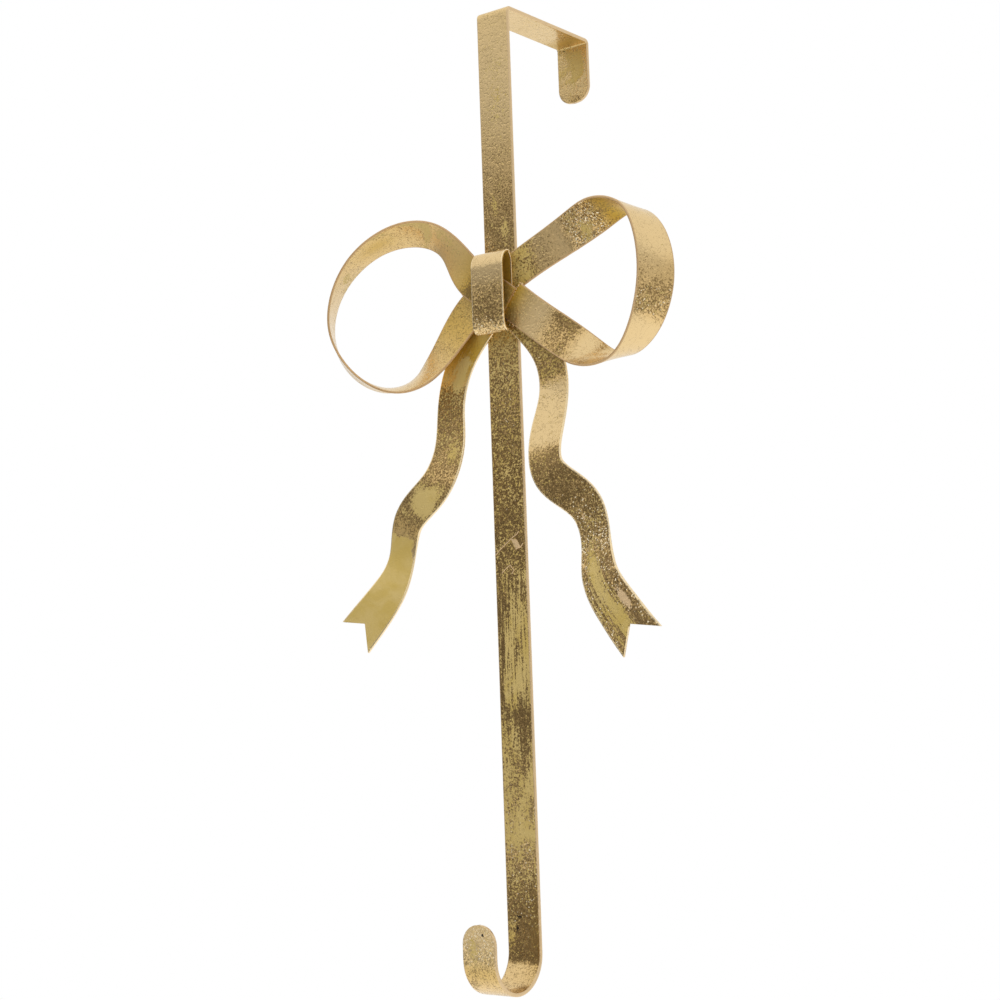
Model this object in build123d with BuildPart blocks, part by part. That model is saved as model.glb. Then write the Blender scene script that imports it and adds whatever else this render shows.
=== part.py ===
"""Wreath hanger: a bent door strap with a ribbon bow welded to its front.

All sizes are in millimetres. The origin is the middle of the underside of the
top plate, where the hanger sits on a door. Minus Y is the front, plus Z is up.
"""

import os
from math import cos, radians, sin, tan

from build123d import *

# Door hook
door_thickness = 44.5
door_clearance = 4.5
door_gap = door_thickness + door_clearance
rear_drop = 24.0
rear_corner_radius = 6.0
bend_inner_radius = 0.7

# Strap
strap_width = 14.5
strap_thickness = 1.5
strap_edge_radius = 0.6
overall_height = 355.0
strap_front = -(door_gap / 2 + strap_thickness)
strap_back = -door_gap / 2

# Wreath hook at the foot of the strap
hook_outer_radius = 13.5
hook_lip_height = 12.0
lip_top_flat = 0.8
lip_corner_radius = (strap_width - lip_top_flat) / 2
hook_centre_y = strap_back - hook_outer_radius
hook_centre_z = strap_thickness - overall_height + hook_outer_radius
lip_front = strap_back - 2 * hook_outer_radius

# Ribbon stock of the bow
ribbon_width = 14.0
ribbon_thickness = 0.9
ribbon_edge_radius = 0.3

# Layers of the bow counted forward from the strap: tails, rear arms,
# back of the knot band, lower right arm, upper left arm
layer_gap = 0.06
layer_pitch = ribbon_thickness + layer_gap
tail_layer = layer_gap + ribbon_thickness / 2
rear_arm_layer = tail_layer + layer_pitch
knot_back = rear_arm_layer + ribbon_thickness / 2 + layer_gap
front_arm_layer = rear_arm_layer + 2 * layer_pitch
top_arm_layer = rear_arm_layer + 3 * layer_pitch

# Knot band
knot_drop = 107.0
knot_height = strap_thickness - knot_drop
knot_half_height = 15.0
knot_width = 14.5
knot_front = 8.5
knot_top_depth = 4.4
knot_foot_depth = 5.9
knot_top_back_rise = 5.0
knot_top_front_rise = 6.0
knot_foot_front_rise = 5.0
knot_foot_back_rise = 1.6

# Number of cross sections lofted around a loop and along a flat end
loop_sections = 26
root_sections = 3

# Loop stations: outward from the strap, forward of the strap face, rise above
# the knot, and roll of the ribbon about its own line in degrees
right_loop_stations = [
    (35.0, 2.5, 17.5, 15.0),
    (61.5, 6.5, 20.5, 89.0),
    (71.5, 7.5, -6.5, 121.0),
    (55.0, 7.0, -31.0, 79.0),
    (30.5, 3.5, -21.0, 16.0),
]
left_loop_stations = [
    (25.0, 3.5, 23.5, 37.0),
    (58.5, 8.0, 23.0, 92.0),
    (77.0, 7.5, -5.5, 125.0),
    (57.0, 6.0, -27.5, 102.0),
    (29.0, 6.0, -24.0, 28.0),
]

# Flat arm ends: layer, height at the strap middle, slope in degrees, how far
# past the strap middle the end is cut, and how far out the bent loop starts
right_upper_arm = (rear_arm_layer, 3.6, 24.5, -0.3, 7.5)
right_lower_arm = (front_arm_layer, 3.0, 41.0, -6.8, 7.5)
left_upper_arm = (top_arm_layer, -0.9, 36.0, 6.0, 7.5)
left_lower_arm = (rear_arm_layer, 3.0, 28.0, -0.3, 9.5)

# Tail stations: outward, forward, drop below the knot, ribbon width
tail_stations = [
    (11.5, tail_layer, 13.0, 12.5),
    (21.0, 1.3, 26.0, 12.5),
    (23.6, 2.8, 40.0, 12.7),
    (22.2, 6.2, 54.5, 14.2),
    (26.5, 10.5, 69.0, 14.3),
    (40.0, 9.7, 80.5, 13.8),
    (43.8, 9.2, 93.0, 12.4),
    (47.2, 12.8, 105.0, 15.2),
    (56.3, 16.2, 117.0, 17.0),
    (67.5, 18.5, 129.0, 18.0),
    (79.0, 20.0, 140.0, 18.5),
]
right_tail_shift = 0.3
left_tail_shift = -0.7
tail_root_slope = 45.0
tail_root_length = 17.0
tail_root_gap = 0.25
tail_sections = 34

# Swallow tail cuts: notch of each tail (outward, drop) and the two slopes
right_notch = (62.0, 122.5)
left_notch = (56.0, 117.0)
right_fork_outer_slope = 5.0
left_fork_outer_slope = -7.0
fork_inner_slope = 12.0
fork_reach = 3 * ribbon_width


def bow_point(side, outward, forward, rise):
    """Point on the bow, measured from the middle of the knot on the strap face."""
    return Vector(side * outward, strap_front - forward, knot_height + rise)


def blend(places, values, place):
    """Smooth value at a place between given places, with no overshoot at the ends."""
    last = len(places) - 1
    index = 0
    while index < last - 1 and place > places[index + 1]:
        index += 1
    span = places[index + 1] - places[index]
    share = (place - places[index]) / span
    slopes = []
    for corner in (index, index + 1):
        if corner in (0, last):
            slopes.append(0.0)
        else:
            rise = values[corner + 1] - values[corner - 1]
            slopes.append(rise / (places[corner + 1] - places[corner - 1]))
    start, end = values[index], values[index + 1]
    square, cube = share**2, share**3
    return (
        (2 * cube - 3 * square + 1) * start
        + (cube - 2 * square + share) * span * slopes[0]
        + (3 * square - 2 * cube) * end
        + (cube - square) * span * slopes[1]
    )


def ribbon_plane(point, along, roll):
    """Plane across a ribbon: X runs across its width, Z runs along it."""
    along = along.normalized()
    depth = Vector(0, 1, 0)
    depth = (depth - along * depth.dot(along)).normalized()
    inward = depth.cross(along)
    across = inward * cos(radians(roll)) + depth * sin(radians(roll))
    return Plane(origin=point, x_dir=across, z_dir=along)


def arm_end(side, arm, heading):
    """Exit point and outward direction of a flat arm end; heading is up or down."""
    layer, height, slope, past, start = arm
    rise = height + heading * start * tan(radians(slope))
    point = bow_point(side, start, layer, rise)
    along = Vector(side * cos(radians(slope)), 0, heading * sin(radians(slope)))
    return point, along, (start + past) / cos(radians(slope))


def root_planes(exit_point, along, length):
    """Section planes along a flat end, from its cut edge towards its exit point."""
    planes = []
    for number in range(root_sections):
        back = length * (1 - number / root_sections)
        planes.append(ribbon_plane(exit_point - along * back, along, 0.0))
    return planes


def loop_frames(side, stations, upper, lower):
    """Section planes around one loop, from one flat end to the other."""
    start, start_along, start_length = arm_end(side, upper, 1)
    end, end_along, end_length = arm_end(side, lower, -1)
    points = [start]
    points += [bow_point(side, *station[:3]) for station in stations]
    points.append(end)
    rolls = [0.0] + [station[3] for station in stations] + [0.0]
    path = Edge.make_spline(points, tangents=[start_along, -end_along], scale=False)
    places = [path.param_at_point(point) for point in points]
    planes = root_planes(start, start_along, start_length)
    for number in range(loop_sections + 1):
        place = number / loop_sections
        roll = side * blend(places, rolls, place)
        turned = ribbon_plane(path.position_at(place), path.tangent_at(place), roll)
        planes.append(turned)
    for plane in reversed(root_planes(end, end_along, end_length)):
        planes.append(ribbon_plane(plane.origin, -end_along, 0.0))
    return planes


def tail_frames(side, shift):
    """Section planes and widths down one tail, shifted outward below its root."""
    points = []
    for number, (outward, forward, drop, _) in enumerate(tail_stations):
        moved = outward + (shift if number else 0.0)
        points.append(bow_point(side, moved, forward, -drop))
    widths = [station[3] for station in tail_stations]
    slope = radians(tail_root_slope)
    start_along = Vector(side * cos(slope), 0, -sin(slope))
    end_along = points[-1] - points[-2]
    path = Edge.make_spline(points, tangents=[start_along, end_along.normalized()], scale=False)
    places = [path.param_at_point(point) for point in points]
    planes = []
    for plane in root_planes(points[0], start_along, tail_root_length):
        planes.append((plane, widths[0]))
    for number in range(tail_sections + 1):
        place = number / tail_sections
        width = blend(places, widths, place)
        plane = ribbon_plane(path.position_at(place), path.tangent_at(place), 0.0)
        planes.append((plane, width))
    return planes


def fork_points(side, notch, outer_slope):
    """Corners of the piece cut away to leave a swallow tail."""
    outward, drop = notch
    corner = Vector(outward, knot_height - drop)
    outer = corner + Vector(fork_reach, -fork_reach * tan(radians(outer_slope)))
    inner = corner + Vector(-fork_reach * tan(radians(fork_inner_slope)), -fork_reach)
    far = Vector(outer.X, inner.Y)
    return [(side * point.X, point.Y) for point in (corner, outer, far, inner)]


def knot_outline(inset):
    """Points and radii of the knot band outline, drawn in by an inset."""
    top = knot_height + knot_half_height
    foot = knot_height - knot_half_height
    return {
        "top_centre": (strap_front - knot_top_depth, top - knot_top_back_rise),
        "top_back": (knot_top_depth - knot_back - inset, knot_top_back_rise - inset),
        "top_front_centre": (strap_front - knot_top_depth, top - knot_top_front_rise),
        "top_front": (knot_front - knot_top_depth - inset, knot_top_front_rise - inset),
        "foot_centre": (strap_front - knot_foot_depth, foot + knot_foot_back_rise),
        "foot_back": (knot_foot_depth - knot_back - inset, knot_foot_back_rise - inset),
        "foot_front_centre": (strap_front - knot_foot_depth, foot + knot_foot_front_rise),
        "foot_front": (knot_front - knot_foot_depth - inset, knot_foot_front_rise - inset),
    }


def is_corner_seam(edge):
    """Short straight edge through the strap's thickness, where a corner starts to round."""
    return edge.geom_type == GeomType.LINE and edge.length < strap_thickness + 0.01


# Strap with its door hook and wreath hook, drawn from the side
strap_plane = Plane.YZ.offset(-strap_width / 2)
with BuildSketch(strap_plane) as foot_ring:
    with Locations((hook_centre_y, hook_centre_z)):
        Circle(hook_outer_radius)
        Circle(hook_outer_radius - strap_thickness, mode=Mode.SUBTRACT)
    with Locations((hook_centre_y, hook_centre_z)):
        Rectangle(
            3 * hook_outer_radius,
            2 * hook_outer_radius,
            align=(Align.CENTER, Align.MIN),
            mode=Mode.SUBTRACT,
        )

with BuildSketch(strap_plane) as strap_side:
    with Locations((strap_front, hook_centre_z)):
        Rectangle(
            strap_thickness,
            strap_thickness - hook_centre_z,
            align=(Align.MIN, Align.MIN),
        )
    with Locations((strap_front, 0)):
        Rectangle(
            door_gap + 2 * strap_thickness,
            strap_thickness,
            align=(Align.MIN, Align.MIN),
        )
    with Locations((door_gap / 2, strap_thickness)):
        Rectangle(strap_thickness, rear_drop, align=(Align.MIN, Align.MAX))
    outer_bends = strap_side.vertices().group_by(Axis.Y)[-1]
    fillet(outer_bends, bend_inner_radius + strap_thickness)
    inner_bends = strap_side.vertices().filter_by_position(Axis.Y, -0.01, 0.01)
    fillet(inner_bends, bend_inner_radius)
    add(foot_ring.sketch_local)
    with Locations((lip_front, hook_centre_z)):
        Rectangle(strap_thickness, hook_lip_height, align=(Align.MIN, Align.MIN))

with BuildPart() as hanger_strap:
    extrude(strap_side.sketch, amount=strap_width)
    ends = hanger_strap.edges().filter_by(Axis.Y)
    rear_end = ends.filter_by_position(Axis.Y, door_gap / 2, 2 * door_gap)
    fillet(rear_end.group_by(Axis.Z)[0], rear_corner_radius)
    ends = hanger_strap.edges().filter_by(Axis.Y)
    lip_end = ends.filter_by_position(Axis.Y, 2 * lip_front, lip_front + strap_thickness)
    fillet(lip_end.group_by(Axis.Z)[-1], lip_corner_radius)
    across = hanger_strap.edges().filter_by(Axis.X)
    rear_rim = across.filter_by_position(Axis.Y, door_gap / 2, 2 * door_gap).group_by(Axis.Z)[0]
    lip_rim = across.filter_by_position(Axis.Y, 2 * lip_front, lip_front + strap_thickness)
    long_rims = hanger_strap.edges().filter_by(Axis.X, reverse=True)
    long_rims = long_rims.filter_by(is_corner_seam, reverse=True)
    fillet(long_rims + rear_rim + lip_rim.group_by(Axis.Z)[-1], strap_edge_radius)
hanger_strap.part.label = "hanger_strap"

# Loops of the bow
with BuildPart() as bow_loop_right:
    for plane in loop_frames(1, right_loop_stations, right_upper_arm, right_lower_arm):
        with BuildSketch(plane):
            RectangleRounded(ribbon_width, ribbon_thickness, ribbon_edge_radius)
    loft()
bow_loop_right.part.label = "bow_loop_right"

with BuildPart() as bow_loop_left:
    for plane in loop_frames(-1, left_loop_stations, left_upper_arm, left_lower_arm):
        with BuildSketch(plane):
            RectangleRounded(ribbon_width, ribbon_thickness, ribbon_edge_radius)
    loft()
bow_loop_left.part.label = "bow_loop_left"

# Tails of the bow
root_box_height = 4 * ribbon_width
with BuildPart() as bow_tail_right:
    for plane, width in tail_frames(1, right_tail_shift):
        with BuildSketch(plane):
            RectangleRounded(width, ribbon_thickness, ribbon_edge_radius)
    loft()
    with Locations((tail_root_gap, strap_front, knot_height)):
        Box(
            root_box_height,
            root_box_height,
            root_box_height,
            align=(Align.MAX, Align.CENTER, Align.CENTER),
            mode=Mode.SUBTRACT,
        )
    with BuildSketch(Plane.XZ):
        Polygon(*fork_points(1, right_notch, right_fork_outer_slope), align=None)
    extrude(amount=2 * door_gap, mode=Mode.SUBTRACT)
bow_tail_right.part.label = "bow_tail_right"

with BuildPart() as bow_tail_left:
    for plane, width in tail_frames(-1, left_tail_shift):
        with BuildSketch(plane):
            RectangleRounded(width, ribbon_thickness, ribbon_edge_radius)
    loft()
    with Locations((-tail_root_gap, strap_front, knot_height)):
        Box(
            root_box_height,
            root_box_height,
            root_box_height,
            align=(Align.MIN, Align.CENTER, Align.CENTER),
            mode=Mode.SUBTRACT,
        )
    with BuildSketch(Plane.XZ):
        Polygon(*fork_points(-1, left_notch, left_fork_outer_slope), align=None)
    extrude(amount=2 * door_gap, mode=Mode.SUBTRACT)
bow_tail_left.part.label = "bow_tail_left"


def knot_face(inset):
    """Flat face inside the knot band outline, drawn in by an inset."""
    outline = knot_outline(inset)
    with BuildSketch(Plane.YZ.offset(-knot_width / 2)) as drawn:
        with BuildLine():
            top_back = EllipticalCenterArc(
                outline["top_centre"], *outline["top_back"], start_angle=0, arc_size=90
            )
            top_front = EllipticalCenterArc(
                outline["top_front_centre"], *outline["top_front"], start_angle=90, arc_size=90
            )
            foot_front = EllipticalCenterArc(
                outline["foot_front_centre"], *outline["foot_front"], start_angle=180, arc_size=90
            )
            foot_back = EllipticalCenterArc(
                outline["foot_centre"], *outline["foot_back"], start_angle=270, arc_size=90
            )
            Line(top_front @ 1, foot_front @ 0)
            Line(foot_back @ 1, top_back @ 0)
        make_face()
    return drawn.sketch


with BuildPart() as bow_knot_band:
    extrude(knot_face(0.0), amount=knot_width)
    extrude(knot_face(ribbon_thickness), amount=knot_width, mode=Mode.SUBTRACT)
bow_knot_band.part.label = "bow_knot_band"

os.makedirs("parts", exist_ok=True)
export_step(hanger_strap.part, "parts/hanger_strap.step")
export_step(bow_loop_right.part, "parts/bow_loop_right.step")
export_step(bow_loop_left.part, "parts/bow_loop_left.step")
export_step(bow_tail_right.part, "parts/bow_tail_right.step")
export_step(bow_tail_left.part, "parts/bow_tail_left.step")
export_step(bow_knot_band.part, "parts/bow_knot_band.step")
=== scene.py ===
"""Wreath hanger in worn gold leaf, set up for a studio picture."""

from collections import namedtuple
from math import cos, radians, sin, tan
from types import SimpleNamespace

import bpy
import numpy as np
from mathutils import Matrix, Vector


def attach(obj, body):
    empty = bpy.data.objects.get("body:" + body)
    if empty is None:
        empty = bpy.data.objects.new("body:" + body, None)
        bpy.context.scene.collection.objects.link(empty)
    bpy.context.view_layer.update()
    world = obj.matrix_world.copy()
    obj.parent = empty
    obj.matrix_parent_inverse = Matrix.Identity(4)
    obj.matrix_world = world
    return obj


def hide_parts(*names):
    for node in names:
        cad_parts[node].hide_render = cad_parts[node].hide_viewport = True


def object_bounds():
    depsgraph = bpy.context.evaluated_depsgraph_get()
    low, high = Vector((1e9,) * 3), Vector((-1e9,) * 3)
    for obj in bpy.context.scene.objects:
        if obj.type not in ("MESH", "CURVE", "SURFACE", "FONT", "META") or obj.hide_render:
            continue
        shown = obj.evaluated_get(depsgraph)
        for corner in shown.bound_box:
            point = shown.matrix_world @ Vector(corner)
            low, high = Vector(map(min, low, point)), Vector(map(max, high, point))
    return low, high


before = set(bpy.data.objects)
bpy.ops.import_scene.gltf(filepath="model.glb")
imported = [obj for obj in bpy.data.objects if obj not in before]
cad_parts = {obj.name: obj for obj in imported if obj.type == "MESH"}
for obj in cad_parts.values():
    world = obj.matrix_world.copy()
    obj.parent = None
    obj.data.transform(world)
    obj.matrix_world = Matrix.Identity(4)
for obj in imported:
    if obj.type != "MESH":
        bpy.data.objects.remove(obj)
cad_low, cad_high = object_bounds()

bl_info = {
    "name": "Wreath Hanger",
    "version": (1, 0, 0),
    "blender": (4, 5, 0),
    "location": "View3D > Sidebar > Hanger",
    "description": "Builds the gilt finish of a wreath hanger over its packed model",
    "category": "Object",
}

MM = 0.001
BODY = "root"
STRAP_SLOT = "gilt_strap"
RIBBON_SLOT = "gilt_ribbon"

# Sizes that the imported model's box gives, in metres: the underside of the top plate is
# at height nought, and the rear plate is the rearmost piece
STRAP_THICKNESS = cad_high[2]
OVERALL_HEIGHT = cad_high[2] - cad_low[2]
DOOR_GAP = 2 * (cad_high[1] - STRAP_THICKNESS)

# Bends and end corners of the strap, in millimetres
BEND_INNER_RADIUS = 0.7
REAR_CORNER = 6.0
LIP_TOP_FLAT = 0.8

# Gap between layers of the bow, in millimetres. Layers are counted forward from
# the strap's face.
LAYER_GAP = 0.06

# Flat ends of the loops' arms: layer, height at the strap's middle line, slope in
# degrees, how far the end runs past that line and where the flat part begins
Arm = namedtuple("Arm", "layer height slope past start")
RIGHT_UPPER_ARM = Arm(layer=1, height=3.6, slope=24.5, past=-0.3, start=7.5)
RIGHT_LOWER_ARM = Arm(layer=3, height=3.0, slope=41.0, past=-6.8, start=7.5)
LEFT_UPPER_ARM = Arm(layer=4, height=-0.9, slope=36.0, past=6.0, start=7.5)
LEFT_LOWER_ARM = Arm(layer=1, height=3.0, slope=28.0, past=-0.3, start=9.5)

# Loop stations: outward, forward, rise above the knot and roll in degrees
RIGHT_LOOP = [
    (35.0, 2.5, 17.5, 15.0),
    (61.5, 6.5, 20.5, 89.0),
    (71.5, 7.5, -6.5, 121.0),
    (55.0, 7.0, -31.0, 79.0),
    (30.5, 3.5, -21.0, 16.0),
]
LEFT_LOOP = [
    (25.0, 3.5, 23.5, 37.0),
    (58.5, 8.0, 23.0, 92.0),
    (77.0, 7.5, -5.5, 125.0),
    (57.0, 6.0, -27.5, 102.0),
    (29.0, 6.0, -24.0, 28.0),
]

# Tail stations: outward, forward, drop below the knot and ribbon width. The first
# one lies in the rear layer.
TAIL = [
    (11.5, None, 13.0, 12.5),
    (21.0, 1.3, 26.0, 12.5),
    (23.6, 2.8, 40.0, 12.7),
    (22.2, 6.2, 54.5, 14.2),
    (26.5, 10.5, 69.0, 14.3),
    (40.0, 9.7, 80.5, 13.8),
    (43.8, 9.2, 93.0, 12.4),
    (47.2, 12.8, 105.0, 15.2),
    (56.3, 16.2, 117.0, 17.0),
    (67.5, 18.5, 129.0, 18.0),
    (79.0, 20.0, 140.0, 18.5),
]
TAIL_ROOT_LENGTH = 17.0
TAIL_ROOT_SLOPE = 45.0
TAIL_ROOT_GAP = 0.25

# Swallow tails: how far each tail is shifted outward below its root, its notch as
# outward and drop, and the slopes of the two cuts in degrees
Tail = namedtuple("Tail", "side shift notch outer_slope")
RIGHT_TAIL = Tail(side=1, shift=0.3, notch=(62.0, 122.5), outer_slope=5.0)
LEFT_TAIL = Tail(side=-1, shift=-0.7, notch=(56.0, 117.0), outer_slope=-7.0)
FORK_INNER_SLOPE = 12.0

# Side outline of the knot band, in millimetres: depths are measured forward from
# the strap's face, and rises inward from the band's top or foot
KNOT_HALF_HEIGHT = 15.0
KNOT_FRONT = 8.5
KNOT_TOP_DEPTH = 4.4
KNOT_FOOT_DEPTH = 5.9
KNOT_TOP_BACK_RISE = 5.0
KNOT_TOP_FRONT_RISE = 6.0
KNOT_FOOT_FRONT_RISE = 5.0
KNOT_FOOT_BACK_RISE = 1.6
KNOT_SEAM = 0.02

# Rows of the blanks: spacing in millimetres, how much closer they stand where the
# strap bends hard or ends, and what counts as a hard bend or an end
STRAP_ROW_SPACING = 0.8
RIBBON_ROW_SPACING = 0.7
KNOT_ROW_SPACING = 0.4
CLOSER_ROWS = 4.0
HARD_BEND = 0.05
END_LENGTH = 8.0

# Columns of the blanks, and how closely a tail's cut ends are searched for
STRIP_COLUMNS = 17
TAIL_COLUMNS = 33
CUT_SAMPLES = 6000
NOTCH_TRIES = 361

# Places in millimetres that are closer than this count as one
SAME_PLACE = 0.001

# Seed of the hammered relief on each strip
RELIEF_SEEDS = {
    "strap": 0.0,
    "loop_right": 0.5,
    "loop_left": 0.1,
    "tail_right": 1.1,
    "tail_left": 0.7,
    "knot_band": 1.5,
}

# Finish along a piece: place, share of matte coat, how streaky the coat is,
# share of dark tarnish, depth of the pits and how far the coat gathers into
# patches. Places on the strap, tails and knot are heights in millimetres, and
# on the loops shares of the length.
STRAP_FINISH = [
    (80.0, 0.46, 0.2, 0.30, 0.8, 0.9),
    (56.0, 0.44, 0.2, 0.20, 0.6, 0.9),
    (40.0, 0.24, 0.0, 0.15, 0.2, 0.15),
    (-20.0, 0.22, 0.0, 0.15, 0.15, 0.15),
    (-45.0, 0.24, 0.0, 0.30, 0.25, 0.15),
    (-72.0, 0.28, 0.1, 0.60, 0.5, 0.3),
    (-92.0, 0.36, 0.1, 0.65, 0.8, 0.3),
    (-104.0, 0.40, 0.0, 0.50, 0.8, 0.15),
    (-114.0, 0.45, 0.0, 0.35, 0.8, 0.15),
    (-125.0, 0.42, 0.0, 0.60, 1.0, 0.15),
    (-185.0, 0.38, 0.0, 0.85, 1.0, 0.15),
    (-203.0, 0.42, 0.3, 0.80, 0.9, 0.3),
    (-213.0, 0.48, 0.9, 0.75, 0.7, 0.3),
    (-228.0, 0.60, 1.0, 0.70, 0.6, 0.3),
    (-246.0, 0.60, 1.0, 0.70, 0.6, 0.3),
    (-256.0, 0.46, 0.8, 0.80, 0.7, 0.4),
    (-275.0, 0.50, 0.4, 0.68, 0.9, 0.6),
    (-300.0, 0.53, 0.2, 0.58, 1.2, 0.7),
    (-314.0, 0.42, 0.3, 0.65, 1.1, 0.3),
    (-324.0, 0.32, 0.1, 0.85, 1.1, 0.2),
    (-342.0, 0.30, 0.0, 0.90, 0.9, 0.2),
    (-344.5, 0.22, 0.0, 0.40, 0.3, 0.15),
    (-372.0, 0.22, 0.0, 0.40, 0.4, 0.15),
    (-378.0, 0.24, 0.0, 0.30, 1.2, 0.2),
    (-382.0, 0.26, 0.0, 0.12, 1.3, 0.2),
    (-395.0, 0.26, 0.0, 0.10, 1.5, 0.2),
]
RIGHT_LOOP_FINISH = [
    (0.00, 0.30, 0.0, 0.20, 0.4, 0.15),
    (0.04, 0.50, 0.0, 0.60, 0.8, 0.15),
    (0.08, 0.48, 0.0, 0.65, 1.0, 0.15),
    (0.11, 0.16, 0.0, 0.40, 0.4, 0.15),
    (0.17, 0.16, 0.0, 0.32, 0.4, 0.2),
    (0.20, 0.36, 0.0, 0.55, 1.6, 0.7),
    (0.26, 0.34, 0.0, 0.60, 2.0, 0.7),
    (0.28, 0.24, 0.0, 0.55, 0.8, 0.3),
    (0.32, 0.14, 0.0, 0.35, 0.3, 0.15),
    (0.36, 0.14, 0.0, 0.15, 0.3, 0.15),
    (0.46, 0.16, 0.0, 0.15, 0.3, 0.15),
    (0.50, 0.20, 0.0, 0.40, 0.3, 0.2),
    (0.54, 0.32, 0.0, 0.60, 1.2, 0.3),
    (0.58, 0.32, 0.0, 0.55, 1.2, 0.3),
    (0.61, 0.14, 0.0, 0.10, 0.3, 0.15),
    (0.79, 0.16, 0.0, 0.15, 0.3, 0.15),
    (0.83, 0.36, 0.0, 0.65, 1.0, 0.3),
    (0.87, 0.32, 0.0, 0.55, 0.9, 0.3),
    (0.91, 0.18, 0.0, 0.20, 0.4, 0.15),
    (1.00, 0.30, 0.0, 0.30, 0.5, 0.15),
]
LEFT_LOOP_FINISH = [
    (0.00, 0.30, 0.0, 0.30, 0.4, 0.15),
    (0.12, 0.22, 0.0, 0.10, 0.4, 0.15),
    (0.25, 0.36, 0.0, 0.37, 0.3, 0.9),
    (0.40, 0.36, 0.0, 0.37, 0.3, 0.9),
    (0.55, 0.24, 0.0, 0.20, 0.3, 0.15),
    (0.75, 0.22, 0.0, 0.15, 0.3, 0.15),
    (0.90, 0.26, 0.0, 0.40, 0.4, 0.15),
    (1.00, 0.60, 0.0, 0.40, 0.5, 0.15),
]
RIGHT_TAIL_FINISH = [
    (-110.0, 0.46, 0.0, 0.70, 1.0, 0.15),
    (-138.0, 0.44, 0.0, 0.75, 1.0, 0.15),
    (-143.0, 0.22, 0.0, 0.10, 0.3, 0.15),
    (-162.0, 0.22, 0.0, 0.12, 0.3, 0.15),
    (-168.0, 0.34, 0.0, 0.80, 0.9, 0.15),
    (-180.0, 0.28, 0.0, 0.75, 1.0, 0.2),
    (-200.0, 0.36, 0.0, 0.60, 1.6, 0.2),
    (-207.0, 0.42, 0.9, 0.70, 1.4, 0.15),
    (-232.0, 0.42, 0.9, 0.70, 1.1, 0.15),
    (-240.0, 0.44, 0.1, 0.75, 1.0, 0.15),
    (-260.0, 0.44, 0.0, 0.70, 1.0, 0.15),
]
LEFT_TAIL_FINISH = [
    (-110.0, 0.30, 0.4, 0.20, 0.3, 0.9),
    (-135.0, 0.36, 0.4, 0.25, 0.4, 0.9),
    (-140.0, 0.36, 0.0, 0.80, 1.0, 0.2),
    (-155.0, 0.40, 0.0, 0.75, 0.9, 0.2),
    (-168.0, 0.42, 0.2, 0.65, 0.7, 0.6),
    (-184.0, 0.42, 0.4, 0.60, 0.5, 0.9),
    (-189.0, 0.24, 0.2, 0.45, 0.3, 0.8),
    (-193.0, 0.80, 0.2, 0.50, 0.2, 0.8),
    (-198.0, 1.00, 0.2, 0.20, 0.2, 0.5),
    (-260.0, 1.00, 0.2, 0.10, 0.2, 0.15),
]
KNOT_FINISH = [
    (-80.0, 0.08, 0.0, 0.05, 0.1, 0.15),
    (-98.0, 0.10, 0.0, 0.10, 0.2, 0.15),
    (-104.0, 0.26, 0.0, 0.50, 0.7, 0.15),
    (-114.0, 0.28, 0.0, 0.65, 1.0, 0.15),
    (-119.0, 0.26, 0.0, 0.40, 1.4, 0.15),
    (-125.0, 0.24, 0.0, 0.20, 0.6, 0.15),
]

# Spots laid over the finish: value, place, half length, place across, half width
# across and amount. Places are given as in the finish, and places across run from
# minus one to one. Named halves reach over the whole piece.
WHOLE_WIDTH = 9.0
WHOLE_LOOP = 9.0
WHOLE_STRAP = 5000.0
STRAP_SPOTS = [
    ("brown", 0.0, WHOLE_STRAP, 0.00, WHOLE_WIDTH, 0.50),
    ("coat", -72.0, 5.0, -0.25, 0.22, 0.25),
    ("coat", -81.0, 4.0, 0.35, 0.20, 0.30),
    ("coat", -232.0, 22.0, -0.85, 0.40, -0.22),
    ("coat", -262.0, 10.0, 0.45, 0.40, -0.18),
    ("coat", -262.0, 12.0, -0.50, 0.40, 0.06),
    ("coat", -334.0, 6.0, -0.75, 0.25, 0.30),
    ("coat", -383.0, 4.5, -0.35, 0.25, 0.32),
    # Painted reflection of the knot's inside on the strap behind the knot
    ("tone_and_painted_reflection", -112.0, 13.0, 0.00, WHOLE_WIDTH, 1.00),
    ("tone_and_painted_reflection", 66.0, 14.0, 0.00, WHOLE_WIDTH, 0.15),
    ("dusty", 66.0, 14.0, 0.00, WHOLE_WIDTH, 0.35),
    ("dusty", -390.0, WHOLE_WIDTH, 0.00, WHOLE_WIDTH, 0.90),
    ("tone_and_painted_reflection", 25.0, 26.0, 0.00, WHOLE_WIDTH, 0.20),
    ("tone_and_painted_reflection", 46.0, 5.0, 0.00, WHOLE_WIDTH, 0.60),
    ("pits", 52.5, 1.5, -0.40, 0.50, 1.50),
    ("soot", 52.5, 0.7, -0.50, 0.35, 0.60),
    ("coat", 61.0, 6.0, 0.40, 0.40, 0.25),
    ("tarnish", 74.0, 3.0, 0.20, 0.60, 0.40),
    ("coat", -30.0, WHOLE_WIDTH, 0.10, 0.35, 0.20),
    ("tarnish", -331.0, 11.0, 0.75, 0.50, 0.50),
    ("tone_and_painted_reflection", -331.0, 11.0, 0.85, 0.45, 0.80),
    ("tone_and_painted_reflection", -375.0, 4.0, 0.00, 3.00, 0.45),
    ("tone_and_painted_reflection", -360.0, 3.0, 0.20, 0.60, 0.50),
    ("dusty", -300.0, 14.0, 0.00, WHOLE_WIDTH, 0.30),
    ("soot", -327.5, 1.3, -0.20, 0.55, 0.66),
    ("soot", -331.5, 1.8, -0.35, 0.18, 0.75),
    ("soot", -388.0, 0.9, 0.30, 0.13, 0.90),
]
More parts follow.
